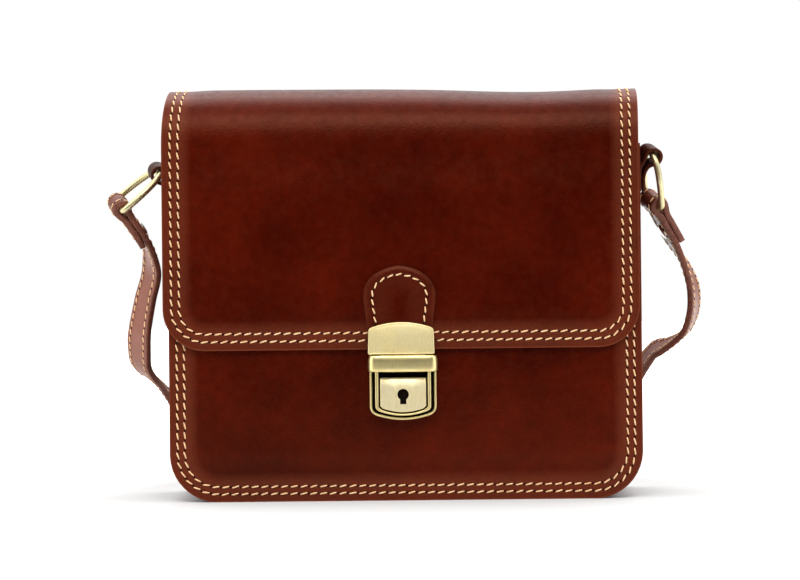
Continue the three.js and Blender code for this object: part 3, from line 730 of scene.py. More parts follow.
thread_shape = stitch_shape()
needle_shape = hole_shape()


def laid(shape, point, along, out, mesh, length=1.0):
    """Adds a copy of a shape at a point, along one way and standing out another."""
    side = out.cross(along).normalized()
    turn = Matrix((along * length, side, out)).transposed().to_4x4()
    copy = shape.copy()
    copy.transform(Matrix.Translation(point) @ turn)
    mesh.from_mesh(copy)
    bpy.data.meshes.remove(copy)


def sew(mesh, path, slant, even=PITCH, lift=0.16):
    """Sews stitches of even pitch along a path of (point, way out) places."""
    lengths = [0.0]
    for a, b in zip(path, path[1:]):
        lengths.append(lengths[-1] + (b[0] - a[0]).length)
    count = max(1, round(lengths[-1] / even))
    pitch = lengths[-1] / count
    k = 0
    for step in range(2 * count + 1):
        target = step * pitch / 2
        while k < len(lengths) - 2 and lengths[k + 1] < target:
            k += 1
        part = (target - lengths[k]) / max(1e-6, lengths[k + 1] - lengths[k])
        point = path[k][0].lerp(path[k + 1][0], part)
        out = path[k][1].lerp(path[k + 1][1], part).normalized()
        along = (path[k + 1][0] - path[k][0]).normalized()
        along = (along - out * along.dot(out)).normalized()
        if step % 2:
            wander = slant + 0.05 * math.sin(step * 2.3)
            thread_way = Matrix.Rotation(wander, 3, out) @ along
            laid(thread_shape, point + out * lift, thread_way, out, mesh, even / PITCH)
        else:
            laid(needle_shape, point + out * 0.02, along, out, mesh)


def seam_path(at, half_of, radius, inset, start, floor_run, up):
    """Places down the left side, round the corners and up the right side of a panel.
    half_of gives the half width by height above the edge at floor_run."""
    spots = []
    height = start
    while height > radius:
        spots.append((inset - half_of(height), height))
        height -= 1.0
    corner = half_of(radius) - radius
    for step in range(13):
        angle = math.pi + step / 12 * math.pi / 2
        reach = radius - inset
        spots.append((-corner + reach * math.cos(angle), radius + reach * math.sin(angle)))
    steps = int(2 * corner)
    for step in range(1, steps):
        spots.append((mix(-corner, corner, step / steps), inset))
    spots += [(-across, height) for across, height in reversed(spots[: -(steps - 1)])]
    path = []
    for across, height in spots:
        run = floor_run + up * height
        path.append((at(across, run), surface_way(at, across, run)))
    return path


def facing(path, out):
    """The same path with every way out on the outer side."""
    if path[len(path) // 2][1].dot(out) > 0:
        return path
    return [(point, -way) for point, way in path]


def build_panel_stitches():
    """Both seams of the front panel, the flap's two seams and those of the back."""
    mesh = bmesh.new()
    for inset in PANEL_SEAMS:
        path = seam_path(front_at, lambda height: BODY_HALF, BOTTOM_RADIUS, inset, 150.0, 0.0, 1)
        sew(mesh, facing(path, Vector((0, -1, 0))), THREAD_SLANT)
    piece("front_stitches", mesh, [thread_look, shade_and_patina_look])

    mesh = bmesh.new()
    top = FLAP_RUN + ARCH_RUN / 2
    for inset in FLAP_SEAMS:
        path = seam_path(shell_at, lambda height: shell_half(SHELL_RUN - max(height, FLAP_RADIUS)),
                         FLAP_RADIUS, inset, top, SHELL_RUN, -1)
        sew(mesh, facing(path, Vector((0, -1, 0))), THREAD_SLANT)
    for inset in PANEL_SEAMS:
        path = seam_path(shell_at, lambda height: shell_half(max(height, BOTTOM_RADIUS)),
                         BOTTOM_RADIUS, inset, ARCH_BASE + ARCH_RUN / 2, 0.0, 1)
        sew(mesh, facing(path, Vector((0, 1, 0))), THREAD_SLANT)
    piece("flap_and_back_stitches", mesh, [thread_look, shade_and_patina_look])


build_front_panel()
build_shell()
build_gusset()
build_panel_stitches()


# Outlines

def bezier(start, segments, steps=14):
    """Places along joined curves in X and Z; a segment has one, two or three points."""
    spots = [Vector(start)]
    for segment in segments:
        first = spots[-1]
        ends = [Vector(point) for point in segment]
        if len(ends) == 1:
            spots += [first.lerp(ends[0], k / 4) for k in range(1, 5)]
            continue
        for k in range(1, steps + 1):
            t = k / steps
            chain = [first, *ends]
            while len(chain) > 1:
                chain = [a.lerp(b, t) for a, b in zip(chain, chain[1:])]
            spots.append(chain[0])
    return spots


def evened(spots, count):
    """The closed outline again with count places at even distances."""
    loop = [*spots, spots[0]]
    lengths = [0.0]
    for a, b in zip(loop, loop[1:]):
        lengths.append(lengths[-1] + (b - a).length)
    even = []
    k = 0
    for step in range(count):
        target = lengths[-1] * step / count
        while lengths[k + 1] < target:
            k += 1
        part = (target - lengths[k]) / max(1e-9, lengths[k + 1] - lengths[k])
        even.append(loop[k].lerp(loop[k + 1], part))
    return even


def inset_ways(spots):
    """For each place of a closed outline, the way inwards that keeps an even inset."""
    area = sum(a.x * b.y - b.x * a.y for a, b in zip(spots, spots[1:] + spots[:1]))
    turn = 1 if area > 0 else -1
    ways = []
    for k, spot in enumerate(spots):
        before = (spot - spots[k - 1]).normalized()
        after = (spots[(k + 1) % len(spots)] - spot).normalized()
        way = (Vector((-before.y, before.x)) + Vector((-after.y, after.x))) * turn
        way.normalize()
        keep = max(0.5, way.dot(Vector((-after.y, after.x)) * turn))
        ways.append(way / keep)
    return ways


def lock_outline(width, bottom, top, shoulder=0.3, corner=5.76, belly=1.8):
    """Straight sides, a full round belly below and a straight top."""
    half = width / 2
    side = bottom + corner + belly
    return bezier((-half, top - shoulder), [
        [(-half, side)],
        [(-half, bottom + belly * 1.6), (corner - half, bottom + belly)],
        [(0, bottom - belly), (half - corner, bottom + belly)],
        [(half, bottom + belly * 1.6), (half, side)],
        [(half, top - shoulder)],
        [(half, top), (half - shoulder, top)],
        [(shoulder - half, top)],
        [(-half, top), (-half, top - shoulder)],
    ])[:-1]


def rimmed(spots, profile, centre, goal=None):
    """Walls that follow an outline in X and Z; the profile gives (inset, y) steps, and
    (inset, y, share) ones that close in on the goal outline or else on the middle.
    The step each vertex came from is kept, and open ends are left open."""
    ways = inset_ways(spots)
    count = len(spots)
    last = len(profile) - 1
    goal = goal or [sum(spots, Vector((0, 0))) / count] * count

    def place(u, v):
        k = round(u * count) % count
        step = round(v * last)
        inset, y, *share = profile[step]
        spot = (spots[k] + ways[k] * inset).lerp(goal[k], share[0] if share else 0.0)
        return Vector((centre + spot.x, y, spot.y)), float(step)

    mesh = sheet(count, last, place, weld=True)
    return mesh


def rim_edges(mesh):
    """The open edges of a mesh, those nearest the front first."""
    edges = [edge for edge in mesh.edges if edge.is_boundary]
    return sorted(edges, key=lambda edge: edge.verts[0].co.y + edge.verts[1].co.y)


def step_of(mesh, face):
    """The mean profile step of a face's corners."""
    layer = mesh.verts.layers.float["edge"]
    return sum(vert[layer] for vert in face.verts) / len(face.verts)


# The tongue patch above the lock

PATCH_CENTRE = (patch_low.x + patch_high.x) / 2
PATCH_STEPS = 120
PATCH_LEATHER = 0.85
PATCH_SKIVE = 0.7
PATCH_SKIVE_RUN = 2.2
PATCH_SEAM_START = 11.0


def patch_outline():
    low, top = patch_low.z, patch_high.z
    half = (patch_high.x - patch_low.x) / 2
    tall = top - low
    neck = half * 0.88
    return bezier((-neck, low), [
        [(neck, low)],
        [(half * 0.9, low + tall * 0.35), (half, low + tall * 0.45), (half, low + tall * 0.62)],
        [(half, low + tall * 0.82), (half * 0.62, top - tall * 0.03), (0, top)],
        [(-half * 0.62, top - tall * 0.03), (-half, low + tall * 0.82), (-half, low + tall * 0.62)],
        [(-half, low + tall * 0.45), (-half * 0.9, low + tall * 0.35), (-neck, low)],
    ])


def patch_depth(inset):
    """The patch's face: skived thinner in the last millimetres to its edge."""
    return patch_low.y + PATCH_SKIVE * (1 - smooth(inset / PATCH_SKIVE_RUN))


def build_patch():
    spots = evened(patch_outline(), PATCH_STEPS)
    ways = inset_ways(spots)
    centre = Vector((0, mix(patch_low.z, patch_high.z, 0.55)))
    fence = list(zip(spots, spots[1:] + spots[:1]))

    def place(u, v):
        spot = spots[round(u * PATCH_STEPS) % PATCH_STEPS].lerp(centre, v ** 1.6)
        nearest = [geometry.intersect_point_line(spot, a, b)[0].to_2d() for a, b in fence]
        inset = min((point - spot).length for point in nearest)
        return Vector((PATCH_CENTRE + spot.x, patch_depth(inset), spot.y)), inset

    mesh = sheet(PATCH_STEPS, 24, place, weld=True)
    if sum(face.normal.y for face in mesh.faces) > 0:
        bmesh.ops.reverse_faces(mesh, faces=mesh.faces)
    patch = piece("flap_tab_leather", mesh, [patch_face, flesh_side, cut_edge],
                  nodes=["flap_tab"])
    give_wall(patch, PATCH_LEATHER, 0.2)

    seam = [spot + way * PATCH_SEAM for spot, way in zip(spots, ways)]
    lowest = patch_low.z + PATCH_SEAM_START
    left_places = [k for k in range(PATCH_STEPS) if seam[k].x <= 0]
    start = min(left_places, key=lambda k: abs(seam[k].y - lowest))
    track = [seam[(start - k) % PATCH_STEPS] for k in range(PATCH_STEPS)]
    if track[3].y < track[0].y:
        track = [seam[(start + k) % PATCH_STEPS] for k in range(PATCH_STEPS)]
    kept = []
    for spot in track:
        if spot.y < lowest and len(kept) > 20:
            break
        if spot.y >= lowest - 0.5:
            kept.append(spot)
    out = Vector((0, -1, 0))
    face_y = patch_depth(PATCH_SEAM)
    route = [(Vector((PATCH_CENTRE + spot.x, face_y, spot.y)), out) for spot in kept]
    threads = bmesh.new()
    sew(threads, route, THREAD_SLANT, PATCH_PITCH)
    piece("flap_tab_stitches", threads, [thread_look, shade_and_patina_look])


# The press lock

LOCK_CENTRE = (case_low.x + case_high.x) / 2
HASP_CENTRE = (hasp_low.x + hasp_high.x) / 2
CASE_WIDTH = 36.0
CASE_RIM_FACE = case_high.y - 6.0
INNER_RIM_FACE = case_high.y - 8.0
POCKET_FLOOR = case_high.y - 1.4
BRIDGE_HEIGHT = 8.8
BRIDGE_METAL = 0.4
BRIDGE_END = 4.6
BRIDGE_BOW = 0.3
KEYHOLE_RADIUS = 3.05
KEYHOLE_SLOT = 3.3
KEYHOLE_REACH = 5.1
KEYHOLE_DEPTH = 2.5
TONGUE_SIZE = Vector((24.0, 2.0, 15.0))
HASP_LEAN = 1.3
HASP_BOW = 0.3
PLATE_LEAN = 0.8
PLATE_TOP_BEND = 0.9

# The case's profile steps whose faces are dark: between its rims (patina with painted shade), and in its
# pocket (painted shade)
CHANNEL_STEPS = (8.4, 10.9)
POCKET_STEP = 18.4


def build_lock_case():
    spots = lock_outline(CASE_WIDTH, case_low.z, case_high.z - 0.6, 5.0)
    plate_width = button_high.x - button_low.x
    pocket = lock_outline(plate_width + 1.6, button_low.z - 0.8, case_high.z - 4, 1.0, 2.0, 2.1)
    outer, inner = CASE_RIM_FACE, INNER_RIM_FACE
    profile = [
        (0.3, case_high.y), (0, case_high.y - 0.4), (0, outer + 0.9), (0.12, outer + 0.35),
        (0.45, outer + 0.03), (0.85, outer), (1.2, outer + 0.08), (1.45, outer + 0.4),
        (1.55, outer + 1.2), (1.6, outer + 2.8), (1.6, outer + 2.8, 0.4), (1.6, inner + 1.4, 0.42),
        (1.6, inner + 0.45, 0.45), (1.6, inner + 0.1, 0.53), (1.6, inner, 0.66),
        (1.6, inner + 0.03, 0.8), (1.6, inner + 0.14, 0.9), (1.6, inner + 0.5, 0.97),
        (1.6, inner + 1.3, 1.0), (1.6, POCKET_FLOOR, 1.0),
    ]
    mesh = rimmed(spots, profile, LOCK_CENTRE, pocket)
    bmesh.ops.holes_fill(mesh, edges=rim_edges(mesh)[len(spots):])
    floor_edges = [edge for edge in mesh.edges if edge.is_boundary]
    filled = bmesh.ops.holes_fill(mesh, edges=floor_edges)["faces"]
    bmesh.ops.recalc_face_normals(mesh, faces=mesh.faces)
    for face in mesh.faces:
        step = step_of(mesh, face)
        if CHANNEL_STEPS[0] < step < CHANNEL_STEPS[1] or step > POCKET_STEP:
            face.material_index = 1
    for face in filled:
        face.material_index = 1
    piece("lock_case_metal", mesh, [case_brass, shade_and_patina_look], nodes=["lock_case"])


def build_lock_bridge():
    """The bridge that the tongue slips under: bowed across, its ends turned back."""
    half = (case_high.x - case_low.x) / 2
    bottom, top = case_high.z - BRIDGE_HEIGHT, case_high.z
    front = case_low.y
    middle = mix(bottom, top, 0.5)
    section = [(bottom, 1.6), (bottom, 0.9), (bottom + 0.12, 0.45), (bottom + 0.4, 0.2),
               (bottom + 0.9, 0.1)]
    for z in (bottom + 2, middle - 1, middle + 1, top - 2):
        section.append((z, 0.3 * ((z - middle) / (top - middle)) ** 4))
    section += [(top - 0.9, 0.3), (top - 0.4, 0.45), (top - 0.12, 0.7), (top, 1.1), (top, 1.8)]
    straight = half - BRIDGE_END

    def place(u, v):
        z, back = section[round(v * (len(section) - 1))]
        share = abs(2 * u - 1)
        run = min(1.0, share / 0.56)
        turn = min(1.0, max(0.0, (share - 0.56) / 0.3)) * math.pi / 2
        x = straight * run + BRIDGE_END * math.sin(turn)
        y = front + BRIDGE_BOW * run ** 2 + BRIDGE_END * 0.9 * (1 - math.cos(turn))
        y = mix(y, case_high.y - 0.4, max(0.0, (share - 0.86) / 0.14))
        x -= back * math.sin(turn)
        return Vector((LOCK_CENTRE + math.copysign(x, u - 0.5), y + back * math.cos(turn), z)), 4.0

    mesh = sheet(80, len(section) - 1, place, Vector((0, -1, 0)))
    bmesh.ops.recalc_face_normals(mesh, faces=mesh.faces)
    if sum(face.normal.y for face in mesh.faces) > 0:
        bmesh.ops.reverse_faces(mesh, faces=mesh.faces)
    bridge = piece("lock_bridge_metal", mesh, [case_brass])
    wall = bridge.modifiers.new("wall", "SOLIDIFY")
    wall.thickness = BRIDGE_METAL * MM
    wall.offset = -1


def keyhole_outline(middle):
    """A round hole with a slot below it, in X and Z."""
    half = KEYHOLE_SLOT / 2
    meet = math.asin(half / KEYHOLE_RADIUS)
    spots = [Vector((-half, middle - KEYHOLE_REACH)), Vector((half, middle - KEYHOLE_REACH))]
    for k in range(29):
        angle = mix(meet - math.pi / 2, 1.5 * math.pi - meet, k / 28)
        out = Vector((math.cos(angle), math.sin(angle)))
        spots.append(Vector((0, middle)) + out * KEYHOLE_RADIUS)
    return spots


def build_press_plate():
    width = button_high.x - button_low.x
    front = button_low.y
    spots = lock_outline(width, button_low.z, button_high.z, 0.3, 1.2, 2.1)
    profile = [(0.3, button_high.y), (0, button_high.y - 0.3), (0, front + 0.6), (0.1, front + 0.25),
               (0.3, front + 0.04), (0.6, front, 0.02), (0.6, front, 0.06)]
    mesh = rimmed(spots, profile, LOCK_CENTRE)
    middle = mix(button_low.z, button_high.z, 0.51)
    hole = [mesh.verts.new((LOCK_CENTRE + spot.x, front, spot.y)) for spot in keyhole_outline(middle)]
    loop = [mesh.edges.new((a, b)) for a, b in zip(hole, hole[1:] + hole[:1])]
    border = rim_edges(mesh)[: len(spots)]
    bmesh.ops.triangle_fill(mesh, edges=border + loop, use_beauty=True, normal=Vector((0, -1, 0)))
    pushed = bmesh.ops.extrude_edge_only(mesh, edges=loop)["geom"]
    inner_verts = [part for part in pushed if isinstance(part, bmesh.types.BMVert)]
    inner_edges = [part for part in pushed if isinstance(part, bmesh.types.BMEdge) and part.is_boundary]
    bmesh.ops.translate(mesh, verts=inner_verts, vec=Vector((0, KEYHOLE_DEPTH, 0)))
    walls = [part for part in pushed if isinstance(part, bmesh.types.BMFace)]
    floor = bmesh.ops.contextual_create(mesh, geom=inner_edges)["faces"]
    bmesh.ops.holes_fill(mesh, edges=[edge for edge in mesh.edges if edge.is_boundary])
    bmesh.ops.recalc_face_normals(mesh, faces=mesh.faces)
    # The keyhole's walls and floor take the painted shade.
    for face in walls + floor:
        face.material_index = 1
    for vert in mesh.verts:
        share = (vert.co.z - button_low.z) / (button_high.z - button_low.z)
        if vert.co.y < front + 1:
            vert.co.y += PLATE_LEAN * share + PLATE_TOP_BEND * smooth((share - 0.93) / 0.07)
    plate = piece("lock_button_metal", mesh, [plate_brass, shade_and_patina_look], "button",
                  ["lock_button"])
    soften = plate.modifiers.new("crisp", "EDGE_SPLIT")
    soften.split_angle = math.radians(40)


def hasp_outline():
    bottom, top = case_high.z + PIECE_GAP, hasp_high.z
    half = (hasp_high.x - hasp_low.x) / 2
    corner = 1.4
    shoulder = top - 3.4
    return bezier((corner - half, bottom), [
        [(half - corner, bottom)],
        [(half, bottom), (half - 0.05, bottom + corner)],
        [(half - 0.45, shoulder - 1.2)],
        [(half - 0.5, shoulder), (half - 2.2, shoulder + 0.75)],
        [(0, shoulder + 2 * 3.4 - 0.75), (2.2 - half, shoulder + 0.75)],
        [(0.5 - half, shoulder), (0.45 - half, shoulder - 1.2)],
        [(0.05 - half, bottom + corner)],
        [(-half, bottom), (corner - half, bottom)],
    ])


def build_hasp():
    front, back = hasp_low.y, hasp_high.y
    spots = evened(hasp_outline(), 160)
    profile = [(0.4, back), (0, back - 0.3), (0, front + 1.2), (0.12, front + 0.6), (0.4, front + 0.2),
               (0.7, front + 0.14), (0.95, front + 0.26), (1.15, front + 0.32),
               (1.15, front + 0.22, 0.03), (1.15, front + 0.17, 0.12), (1.15, front + 0.09, 0.3),
               (1.15, front + 0.02, 0.6),
               (1.15, front, 0.85)]
    mesh = rimmed(spots, profile, HASP_CENTRE)
    bmesh.ops.holes_fill(mesh, edges=[edge for edge in mesh.edges if edge.is_boundary])
    bmesh.ops.recalc_face_normals(mesh, faces=mesh.faces)
    half = (hasp_high.x - hasp_low.x) / 2
    bottom = min(spot.y for spot in spots)
    for vert in mesh.verts:
        front_share = (back - vert.co.y) / (back - front)
        rise = (vert.co.z - bottom) / (hasp_high.z - bottom)
        aside = (vert.co.x - HASP_CENTRE) / half
        vert.co.y += front_share * (HASP_LEAN * rise ** 2 + HASP_BOW * aside ** 2)
    tongue = bmesh.ops.create_cube(mesh, size=1.0)["verts"]
    tongue_middle = Vector((LOCK_CENTRE, back - 1.1, hasp_low.z + TONGUE_SIZE.z / 2))
    bmesh.ops.scale(mesh, verts=tongue, vec=TONGUE_SIZE)
    bmesh.ops.translate(mesh, verts=tongue, vec=tongue_middle)
    piece("hasp_metal", mesh, [hasp_brass], nodes=["hasp"])


# The rings, the leather loops that hold them, and the strap's run from each

RINGS = [
    {
        "name": "left", "side": -1, "out": 7.1, "height": 0.803, "depth": 0.01,
        "bar": (-0.29, 0.9, 0.32), "leg": (0.77, 0.02, 0.64),
    },
    {
        "name": "right", "side": 1, "out": 7.1, "height": 0.8334, "depth": -0.13,
        "bar": (-0.3, 0.88, 0.36), "leg": (-0.09, -0.42, 0.9),
    },
]

# Each strand's run from its bar: out, back and down, and the strap's way across
STRANDS = {
    "left": [
        (0, 0, 0, (-0.29, 0.9, 0.32)),
        (-0.06, 0.083, 0.14, (-0.45, 0.86, 0.22)),
        (-0.062, 0.132, 0.224, (-0.56, 0.81, 0.14)),
        (-0.0455, 0.162, 0.325, (-0.64, 0.76, 0.05)),
        (-0.031, 0.18, 0.443, (-0.69, 0.72, 0)),
        (-0.028, 0.214, 0.502, (-0.68, 0.73, 0.08)),
        (-0.029, 0.256, 0.553, (-0.64, 0.74, 0.2)),
        (-0.041, 0.314, 0.59, (-0.6, 0.75, 0.28)),
        (-0.058, 0.393, 0.62, (-0.52, 0.7, 0.48)),
        (-0.102, 0.583, 0.735, (-0.3, 0.42, 0.86)),
        (-0.137, 0.788, 0.862, (-0.12, 0.12, 0.98)),
        (-0.158, 0.968, 0.932, (0, 0, 1)),
    ],
    "right": [
        (0, 0, 0, (-0.3, 0.88, 0.36)),
        (0.052, 0.08, 0.16, (0.1, 0.96, 0.2)),
        (0.08, 0.122, 0.236, (0.25, 0.96, 0.1)),
        (0.096, 0.163, 0.31, (0.38, 0.92, 0)),
        (0.097, 0.195, 0.378, (0.36, 0.93, 0.03)),
        (0.086, 0.242, 0.443, (0.3, 0.94, 0.08)),
        (0.07, 0.28, 0.474, (0.24, 0.95, 0.12)),
        (0.042, 0.337, 0.505, (0.18, 0.92, 0.28)),
        (0.018, 0.386, 0.525, (0.14, 0.84, 0.5)),
        (-0.036, 0.59, 0.68, (0.08, 0.5, 0.86)),
        (-0.075, 0.793, 0.84, (0.04, 0.15, 0.98)),
        (-0.095, 0.98, 0.926, (0, 0, 1)),
    ],
}


class RingPlace:
    """Where a ring lies: its loop, its ways along bar and leg, its bar's middle."""

    def __init__(self, ring):
        height = ring["height"] * BODY_HEIGHT
        self.side = ring["side"]
        self.out = ring["out"]
        aside = self.side * (gusset_face_at(height) + self.out)
        self.loop = Vector((aside, ring["depth"] * 2 * HALF_DEPTH, height))
        self.bar = Vector(ring["bar"]).normalized()
        leg = Vector(ring["leg"])
        self.leg = (leg - self.bar * leg.dot(self.bar)).normalized()
        self.middle = self.loop + self.leg * (STRIP_LOOP * 0.33 - RING_LENGTH)
        self.strand = [self.strand_point(row) for row in STRANDS[ring["name"]]]
        along = self.strand[1] - self.middle
        self.along = (along - self.bar * along.dot(self.bar)).normalized()
        self.away = (self.along.cross(self.bar) * self.side).normalized()
        start = self.middle - self.away * (STRAP_LEATHER + PIECE_GAP) / 2
        self.line = Line([start, *self.strand[1:5]])

    def strand_point(self, row):
        out, back, down, width = row
        return Vector((self.middle.x + self.side * out * 2 * BODY_HALF,
                       self.middle.y + back * STRAP_LOOP_START,
                       self.middle.z * (1 - down)))

    def beside(self, distance, off):
        """A place on the strand so far from the bar and out from its middle."""
        share = self.line.share_at(distance)
        along = self.line.way(share)
        away = (self.away - along * self.away.dot(along)).normalized()
        return self.line.at(share) + away * off, away


def tube(rows, section, closed_ends=True):
    """A skin of the section's (across, out, inset) places along rows of
    (point, across, out)."""
    count = len(section)
    last = len(rows) - 1

    def place(u, v):
        point, across, out = rows[round(v * last)]
        a, b, inset = section[round(u * count) % count]
        return point + across * a + out * b, inset

    mesh = sheet(count, last, place, weld=True)
    if closed_ends:
        bmesh.ops.holes_fill(mesh, edges=[edge for edge in mesh.edges if edge.is_boundary])
        bmesh.ops.recalc_face_normals(mesh, faces=mesh.faces)
    return mesh


def strip_section(width, thick, rounding, steps=10):
    """A strip's section with rounded long edges; the inset is from its edge."""
    half, deep = width / 2, thick / 2
    spots = []
    for sign in (1, -1):
        for k in range(steps):
            a = mix(half - rounding, rounding - half, k / steps) * sign
            spots.append((a, deep * sign, half - abs(a)))
        for k in range(6):
            angle = math.pi / 2 + k / 6 * math.pi
            a = (rounding - half + rounding * math.cos(angle)) * sign
            centre = deep - rounding if k < 3 else rounding - deep
            b = centre + rounding * math.sin(angle)
            spots.append((a, b * sign, max(0.0, half - abs(a))))
    return spots


def ring_line(count):
    half = RING_WIDTH / 2
    corner = RING_WIDTH * 0.13
    spots = bezier((corner - half, 0), [
        [(half - corner, 0)],
        [(half, 0), (half * 1.02, corner)],
        [(half * 1.06, RING_LENGTH * 0.5), (half * 0.82, RING_LENGTH), (0, RING_LENGTH)],
        [(-half * 0.82, RING_LENGTH), (-half * 1.06, RING_LENGTH * 0.5), (-half * 1.02, corner)],
        [(-half, 0), (corner - half, 0)],
    ], 20)
    return evened(spots, count)


def build_ring(ring, place):
    count = 120
    spots = ring_line(count)
    facing_way = place.bar.cross(place.leg)
    rows = []
    for k in range(count + 1):
        here = spots[k % count]
        ahead = (spots[(k + 1) % count] - spots[(k - 1) % count]).normalized()
        point = place.middle + place.bar * here.x + place.leg * here.y
        rows.append((point, place.bar * ahead.y - place.leg * ahead.x, facing_way))
    wire = WIRE / 2 + WIRE_FULLER
    angles = [k * math.pi / 8 for k in range(16)]
    section = [(wire * math.cos(angle), wire * math.sin(angle), 4.0) for angle in angles]
    mesh = tube(rows, section, closed_ends=False)
    piece(f"ring_{ring['name']}_wire", mesh, [ring_brass],
          nodes=[f"ring_{ring['name']}"])


def build_ring_tab(ring, place):
    middle = STRIP_LEATHER / 2
    radius = STRIP_LOOP + middle
    inner = PIECE_GAP + middle
    outer = inner + STRIP_LEATHER + PIECE_GAP
    line = [(inner, -STRIP_TAIL * share, 0.0) for share in (1, 0.66, 0.38)]
    for degrees in (180, 144, 108, 72, 36, 0):
        angle = math.radians(degrees)
        line.append((place.out + radius * math.cos(angle), radius * math.sin(angle), 1.0))
    line += [(place.out + radius * 0.72, -radius * 0.8, 1.0),
             (outer + radius * 0.35, -STRIP_TAIL * 0.3, 0.8), (outer, -STRIP_TAIL * 0.5, 0.3),
             (outer, -STRIP_TAIL * 0.75, 0.0), (outer, -STRIP_TAIL, 0.0)]
    lean = Vector((0, place.leg.y, place.leg.z)).normalized()
    straight = Vector((0, lean.z, -lean.y))
    keys = [Vector(key) for key in line]
    rows = []
    for k in range(73):
        here = catmull(keys, k / 72)
        ahead = (catmull(keys, min(1, k / 72 + 0.004)) - catmull(keys, max(0, k / 72 - 0.004)))
        ahead = Vector((ahead.x, ahead.y)).normalized()
        loop = min(1.0, max(0.0, here.z))
        face = mix(gusset_face_at(place.loop.z + here.y * lean.z), gusset_face_at(place.loop.z), loop)
        point = Vector((place.side * (face + here.x), place.loop.y, place.loop.z)) + lean * here.y
        out = Vector((place.side * ahead.y, 0, 0)) - lean * ahead.x
        across = straight.lerp(place.bar, loop).normalized()
        rows.append((point, across, out))
    mesh = tube(rows, strip_section(STRIP_WIDTH, STRIP_LEATHER, 0.5, 6))
    piece(f"ring_tab_{ring['name']}_leather", mesh, [painted_shade_tab_face],
          nodes=[f"ring_tab_{ring['name']}"])


def fold_keys(place):
    """The tail, the fold and the strand's first stretch at one end of the strap."""
    reach = WIRE / 2 + PIECE_GAP + STRAP_LEATHER / 2
    tail_out = STRAP_LEATHER + PIECE_GAP
    stretch = [share * STRAP_TAIL for share in (0.26, 0.48, 0.72, 1)]
    points = [place.beside(distance, tail_out)[0] for distance in reversed(stretch)]
    for degrees in (90, 120, 150, 180, 210, 240, 270):
        angle = math.radians(degrees)
        turned = place.along * math.cos(angle) + place.away * math.sin(angle)
        points.append(place.middle + turned * reach)
    points += [place.beside(distance, 0)[0] for distance in stretch]
    return [(point, place.bar) for point in points]


def strap_keys(places):
    ends = []
    for ring, place in zip(RINGS, places):
        run = [(place.strand[k], Vector(STRANDS[ring["name"]][k][3])) for k in range(2, 12)]
        ends.append([*fold_keys(place), *run])
    level = STRAP_WIDTH / 2 + FLOOR_GAP
    loop = []
    for degrees in (160, 140, 120, 100, 80, 60, 40, 20):
        angle = math.radians(degrees)
        across = STRAP_LOOP_WIDTH / 2 * math.cos(angle)
        back = STRAP_LOOP_START + STRAP_LOOP_REACH * math.sin(angle)
        loop.append((Vector((across, back, level)), Vector((0, 0, 1))))
    keys = [*ends[0], *loop, *reversed(ends[1])]
    raised = []
    for point, width in keys:
        upright = abs(width.normalized().z)
        lowest = (STRAP_WIDTH * upright + STRAP_LEATHER * math.sqrt(1 - upright ** 2)) / 2 + FLOOR_GAP
        raised.append((Vector((point.x, point.y, max(point.z, lowest))), width))
    return raised


def strap_rows(places):
    """Even rows along the strap, with its ways across and out of its grain side."""
    keys = strap_keys(places)
    points = [point for point, width in keys]
    widths = [width for point, width in keys]
    last = len(keys) - 1
    shares = [0.0]
    for k in range(last):
        parts = max(2, round((points[k] - points[k + 1]).length / 2.2))
        shares += [(k + part / parts) / last for part in range(1, parts + 1)]
    rows = []
    for share in shares:
        point = catmull(points, share)
        ahead, behind = catmull(points, min(1, share + 0.0004)), catmull(points, max(0, share - 0.0004))
        along = (ahead - behind).normalized()
        across = catmull(widths, share)
        across = (across - along * across.dot(along)).normalized()
        rows.append((point, across, along.cross(across)))
    return rows


def build_strap(places):
    rows = strap_rows(places)
    mesh = tube(rows, strip_section(STRAP_WIDTH, STRAP_LEATHER, 0.8, 12))
    for face in mesh.faces:
        centre = face.calc_center_median()
        near = min(range(len(rows)), key=lambda k: (rows[k][0] - centre).length_squared)
        height = (centre - rows[near][0]).dot(rows[near][2])
        off_edge = STRAP_WIDTH / 2 - abs((centre - rows[near][0]).dot(rows[near][1]))
        if off_edge < 0.7:
            face.material_index = 1
        elif height < 0:
            face.material_index = 2
    piece("shoulder_strap_leather", mesh, [strap_face, strap_edge, strap_flesh],
          nodes=["shoulder_strap"])

    threads = bmesh.new()
    for side in (-1, 1):
        for sign in (-1, 1):
            beside = sign * (STRAP_WIDTH / 2 - STRAP_SEAM)
            route = [(point + across * beside + out * side * STRAP_LEATHER / 2, out * side)
                     for point, across, out in rows[2:-2]]
            sew(threads, route, THREAD_SLANT, STRAP_PITCH)
    piece("strap_stitches", threads, [thread_look, shade_and_patina_look])


